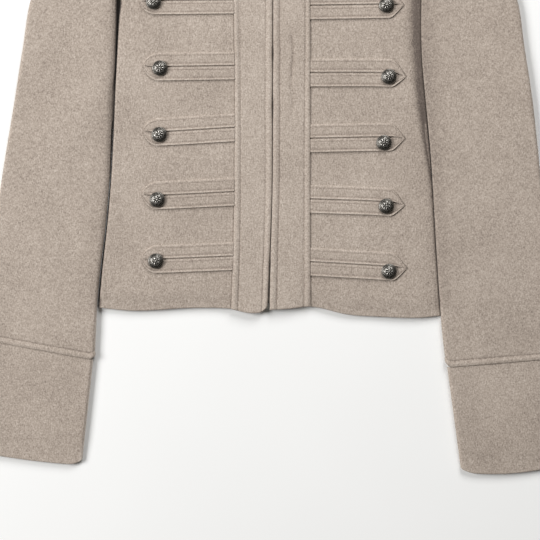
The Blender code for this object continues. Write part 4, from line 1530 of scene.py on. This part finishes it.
class JACKET_OT_plackets(Operator):
    """Make the bands beside the zip, with their rows of stitching"""

    bl_idname = "jacket.plackets"
    bl_label = "Plackets"

    def execute(self, context):
        looks = context.scene.jacket_cloth
        wall, inset = looks.band_wall / MM, looks.placket_inset / MM
        face = BODY_RISE + BAND_GAP + wall
        for side in SIDES:
            name = "placket_" + side.name
            grid = placket_rows(side, face, looks.pitch / MM)
            _, _, near, far = edge_distances(grid)
            grid[..., 2] += front_lie(grid) + stitched(near, inset, looks) + stitched(far, inset, looks)
            lines = [grid[:, nearest_column(distance, inset)] for distance in (near, far)]
            threads = add_stitching(name, lines, finish("sewing_thread"))
            # Painted shade on the stitching and in creases, and painted light over the whole band
            shade = stitch_shade(near, inset, INNER_STITCH_SHADE[side.name])
            shade += stitch_shade(far, inset, OUTER_STITCH_SHADE) + crease_shade(grid) - PLACKET_LIGHT[side.name]
            add_cloth(
                name, grid, wall, finish("wool_flannel"), side.sign > 0,
                sewn="down", shade=shade,
            )
        return {"FINISHED"}


class JACKET_OT_straps(Operator):
    """Make the rows of straps, each doubled round a slit and stitched along its edges"""

    bl_idname = "jacket.straps"
    bl_label = "Straps"

    def execute(self, context):
        looks = context.scene.jacket_cloth
        wall, inset = looks.band_wall / MM, looks.tab_inset / MM
        face = BODY_RISE + BAND_GAP + wall
        steps, width = strap_steps(inset)
        columns = [int(np.argmin(np.abs(steps - place))) for place in (inset, width - inset)]
        for side in SIDES:
            for number, row in enumerate(side.tabs, start=1):
                name = "tab_" + side.name + "_" + str(number)
                grid, shade = strap_rows(side, row, face, looks)
                grid[..., 2] += creased(FRONT_CREASES, grid)
                lines = [grid[:, column] for column in columns]
                threads = add_stitching(name, lines, finish("sewing_thread"))
                add_cloth(
                    name, grid, wall, finish("wool_flannel"), side.sign < 0,
                    sewn="sides", shade=shade,
                )
        return {"FINISHED"}


# Half of a button's outline below its dome: how far out and how high
BUTTON_RIM = (
    (9.2, 2.0), (9.3, 1.6), (9.1, 1.25), (8.4, 1.0), (6.0, 0.95), (4.0, 0.9), (4.0, 0.0), (0.0, 0.0),
)
BUTTON_RADIUS = 9.2
BUTTON_DOME = 5.6
BUTTON_EDGE = 2.0
BUTTON_TURNS = 144
BUTTON_CROWN = 2.4
RIM_RUBBED = 0.25

# How far each button is turned from the one above, in radians
BUTTON_TWIST = 1.7

# Rings on the dome, as shares of its radius: where each lies and its half width
SCALLOP = (0.58, 0.035)
SCALLOP_WAVE = 0.05
BEAD_RING = (0.78, 0.045)
RIM_RING = (0.945, 0.03)
RIB_STARTS = (0.17, 0.27)
RIB_ENDS = (0.46, 0.56)
HEART = 0.11


def button_dome(looks):
    """The dome's rings: distance out, height, raised pattern and how rubbed it is, all round."""
    outs = np.concatenate([np.linspace(0.0, 0.9, 30), np.linspace(0.92, 1.0, 9)[:-1]])[:, None]
    turn = np.arange(BUTTON_TURNS)[None] * 2 * np.pi / BUTTON_TURNS
    height = BUTTON_EDGE + (BUTTON_DOME - BUTTON_EDGE) * (1 - outs**BUTTON_CROWN) + 0 * turn
    wave = np.cos(turn * looks.petals)
    rib = np.maximum(0, wave) ** 1.5 * ease(outs, *RIB_STARTS) * (1 - ease(outs, *RIB_ENDS))
    scallop = bell(outs - SCALLOP_WAVE * wave, *SCALLOP)
    heart = np.exp(-((outs / HEART) ** 4)) + 0 * turn
    bead = bell(outs, *BEAD_RING) * np.maximum(0, np.cos(turn * looks.beads)) ** 0.8
    rim = bell(outs, *RIM_RING) + 0 * turn
    raised = np.clip(rib + 0.8 * scallop + heart + 0.8 * bead + 0.6 * rim, 0, 1)
    return outs[:, 0] * BUTTON_RADIUS, height, raised, turn[0]


def button_mesh(looks):
    """One button with a rosette on its dome, seated at the origin."""
    outs, height, raised, turn = button_dome(looks)
    rise = height + raised * looks.relief / MM
    levels = [*zip(outs, rise)] + [(out, np.full_like(turn, level)) for out, level in BUTTON_RIM]
    rings = [np.stack([out * np.cos(turn), out * np.sin(turn), level], axis=-1) for out, level in levels]
    rubbed = list(raised) + [np.full_like(turn, RIM_RUBBED) for _ in BUTTON_RIM]
    grid, rubbed = np.array(rings), np.array(rubbed)
    points = grid[1:-1].reshape(-1, 3)
    index = np.arange(len(points)).reshape(-1, BUTTON_TURNS)
    faces = quads(index, True)[:, ::-1].tolist()
    top, foot = len(points), len(points) + 1
    for spoke in range(BUTTON_TURNS):
        following = (spoke + 1) % BUTTON_TURNS
        faces.append([top, int(index[0, spoke]), int(index[0, following])])
        faces.append([foot, int(index[-1, following]), int(index[-1, spoke])])
    points = np.concatenate([points, grid[0, :1], grid[-1, :1]])
    mesh = bpy.data.meshes.new("domed_button")
    mesh.from_pydata((points * MM).tolist(), [], faces)
    values = np.concatenate([rubbed[1:-1].ravel(), rubbed[0, :1], rubbed[-1, :1]])
    mesh.attributes.new("rubbed", "FLOAT", "POINT").data.foreach_set("value", values.astype(np.float32))
    mesh.materials.append(finish("antique_silver"))
    mesh.shade_smooth()
    return mesh


class JACKET_OT_buttons(Operator):
    """Make the domed buttons, each turned a little its own way"""

    bl_idname = "jacket.buttons"
    bl_label = "Buttons"

    def execute(self, context):
        mesh = button_mesh(context.scene.jacket_button)
        for side in SIDES:
            for number in range(1, len(side.tabs) + 1):
                node = "button_" + side.name + "_" + str(number)
                low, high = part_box(node)
                middle = (low + high) / 2
                place = np.array((middle.x / MM, middle.y / MM + ORIGIN_ABOVE_HEM))
                lift = float(creased(FRONT_CREASES, place)) - BAND_SINK
                made = add_object("silver_" + node, mesh.copy())
                made.location = (middle.x, middle.y, low.z + lift * MM)
                made.rotation_euler = (0.0, 0.0, number * BUTTON_TWIST + side.sign)
                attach(made, BODY)
                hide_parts(node)
        return {"FINISHED"}


# One zip tooth, from the tape in to its head: how far out, how wide along the zip, how raised
TOOTH = (
    (2.5, 0.62, 0.0), (1.5, 0.62, 0.0), (0.8, 0.5, 0.0), (0.55, 0.6, 1.6), (0.1, 1.0, 1.9), (-0.5, 1.0, 1.7),
    (-0.7, 0.6, 0.4),
)
TOOTH_BEVEL = 0.2
TOOTH_BEVEL_SHARE = 0.25
TOOTH_STARTS = {"right": 1.0, "left": 0.5}
SHARP_ANGLE = math.radians(40)

# How the slider, its pull and the stop are rounded at their edges
ROUNDED_WIDTH = 0.25
ROUNDED_STEPS = 3


def tooth_rows(looks):
    """Points and faces of both rows of teeth."""
    points, faces = [], []
    pitch, width = looks.pitch / MM, looks.tooth / MM
    count = int((CHAIN_ENDS[1] - CHAIN_ENDS[0]) / pitch) - 1
    low, high = CHAIN_FACES
    for side in SIDES:
        for number in range(count):
            up = CHAIN_ENDS[0] + pitch * (number + TOOTH_STARTS[side.name])
            middle = centre_x(up)
            start = len(points)
            for out, share, raised in TOOTH:
                peak = high + raised
                x = middle + side.sign * out
                half = width * share / 2
                inset = TOOTH_BEVEL_SHARE * half
                edge = peak - TOOTH_BEVEL
                points += [(x, up - half, low), (x, up + half, low), (x, up + half, edge)]
                points += [(x, up + half - inset, peak), (x, up - half + inset, peak), (x, up - half, edge)]
            index = np.arange(len(TOOTH) * 6).reshape(len(TOOTH), 6) + start
            body = quads(index, True)
            faces += (body if side.sign < 0 else body[:, ::-1]).tolist()
            ends = [index[0].tolist(), index[-1, ::-1].tolist()]
            faces += [end[::-1] for end in ends] if side.sign < 0 else ends
    return np.array(points), faces


class JACKET_OT_zip(Operator):
    """Make the zip's tapes and teeth, and finish its stop, slider and pull"""

    bl_idname = "jacket.zip"
    bl_label = "Zip"

    def execute(self, context):
        looks = context.scene.jacket_zip
        pitch = context.scene.jacket_cloth.pitch / MM
        for side in SIDES:
            name = "zip_tape_" + side.name
            grid = tape_rows(side.sign, pitch)
            add_cloth(name, grid, TAPE_WALL, finish("zip_weave"), side.sign > 0)
        points, faces = tooth_rows(looks)
        teeth = add_mesh("zip_teeth", points, faces, finish("zip_nickel"))
        teeth.data.set_sharp_from_angle(angle=SHARP_ANGLE)
        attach(teeth, BODY)
        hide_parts("zip_chain")
        for node in ("zip_stop", "zip_slider", "zip_pull"):
            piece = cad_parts[node]
            piece.data.materials.clear()
            piece.data.materials.append(finish("zip_nickel"))
            round_off = piece.modifiers.new("rounded", "BEVEL")
            round_off.width = ROUNDED_WIDTH * MM
            round_off.segments = ROUNDED_STEPS
            round_off.limit_method = "ANGLE"
        return {"FINISHED"}


# The soft lights: how far off in metres, how high and how far round from the left in degrees, how wide
LightRow = namedtuple("LightRow", "name reach rise turn size")
LIGHTS = (
    LightRow("left_light", 3.95, 38.7, 9.0, 1.75),
    LightRow("top_light", 2.9, 37.4, 108.0, 1.5),
)
SKY_COLOUR = (1.0, 0.97, 0.91, 1.0)

# The floor, in metres: half its width, and its level just under the cloth
FLOOR_HALF = 3.0
FLOOR_LEVEL = -0.3 * MM

# The camera: its sensor in millimetres, and how far it stands to the side in metres
SENSOR_WIDTH = 36.0
CAMERA_ASIDE = -0.6 * MM


def add_light(row, power, aim):
    """One soft light that faces the place it is aimed at."""
    made = bpy.data.lights.new(row.name, "AREA")
    made.energy = power
    made.size = row.size
    light = add_object(row.name, made)
    rise, turn = math.radians(row.rise), math.radians(row.turn)
    level = math.cos(rise) * row.reach
    away = Vector((-level * math.cos(turn), level * math.sin(turn), math.sin(rise) * row.reach))
    light.location = aim + away
    light.rotation_mode = "QUATERNION"
    light.rotation_quaternion = away.to_track_quat("Z", "Y")
    light.visible_camera = False


class JACKET_OT_stage(Operator):
    """Make the floor, the light and the camera"""

    bl_idname = "jacket.stage"
    bl_label = "Stage"

    def execute(self, context):
        looks = context.scene.jacket_stage
        mesh = bpy.data.meshes.new("floor")
        turns = ((-1, -1), (1, -1), (1, 1), (-1, 1))
        corners = [(x * FLOOR_HALF, y * FLOOR_HALF, FLOOR_LEVEL) for x, y in turns]
        mesh.from_pydata(corners, [], [(0, 1, 2, 3)])
        mesh.materials.append(finish("pale_floor"))
        floor = add_object("floor", mesh)
        world = bpy.data.worlds.new("studio")
        world.use_nodes = True
        sky = world.node_tree.nodes["Background"]
        set_inputs(sky, {"Color": SKY_COLOUR, "Strength": looks.sky})
        context.scene.world = world
        aim_y = looks.aim_up - ORIGIN_ABOVE_HEM * MM
        for row in LIGHTS:
            add_light(row, getattr(looks, row.name), Vector((0.0, aim_y, 0.0)))
        lens = bpy.data.cameras.new("camera")
        lens.sensor_width = SENSOR_WIDTH
        lens.lens = lens.sensor_width * looks.camera_height / looks.view_width
        camera = add_object("camera", lens)
        camera.location = (CAMERA_ASIDE, aim_y, BODY_RISE * MM + looks.camera_height)
        context.scene.camera = camera
        context.scene.view_settings.view_transform = "Standard"
        return {"FINISHED"}


STEPS = (
    JACKET_OT_stage,
    JACKET_OT_body,
    JACKET_OT_sleeves,
    JACKET_OT_cuffs,
    JACKET_OT_collar,
    JACKET_OT_plackets,
    JACKET_OT_straps,
    JACKET_OT_buttons,
    JACKET_OT_zip,
)

LOOKS = {
    "jacket_cloth": ClothLooks,
    "jacket_wool": WoolLooks,
    "jacket_stitch": StitchLooks,
    "jacket_button": ButtonLooks,
    "jacket_zip": ZipLooks,
    "jacket_stage": StageLooks,
}


class JACKET_PT_panel(Panel):
    """The jacket's sizes, colours and pieces"""

    bl_label = "Cropped military jacket"
    bl_idname = "JACKET_PT_panel"
    bl_space_type = "VIEW_3D"
    bl_region_type = "UI"
    bl_category = "Jacket"

    def draw(self, context):
        for step in STEPS:
            self.layout.operator(step.bl_idname)
        for name, group in LOOKS.items():
            box = self.layout.box()
            for field in group.__annotations__:
                box.prop(getattr(context.scene, name), field)


def register():
    """Add the classes and the scene's settings."""
    for group in (*LOOKS.values(), *STEPS, JACKET_PT_panel):
        bpy.utils.register_class(group)
    for name, group in LOOKS.items():
        setattr(bpy.types.Scene, name, PointerProperty(type=group))


def unregister():
    """Take the settings and the classes away."""
    for name in LOOKS:
        delattr(bpy.types.Scene, name)
    for group in reversed((*LOOKS.values(), *STEPS, JACKET_PT_panel)):
        bpy.utils.unregister_class(group)


def main():
    """Dress the whole jacket."""
    register()
    for step in STEPS:
        group, name = step.bl_idname.split(".")
        getattr(getattr(bpy.ops, group), name)()


if __name__ == "__main__":
    main()
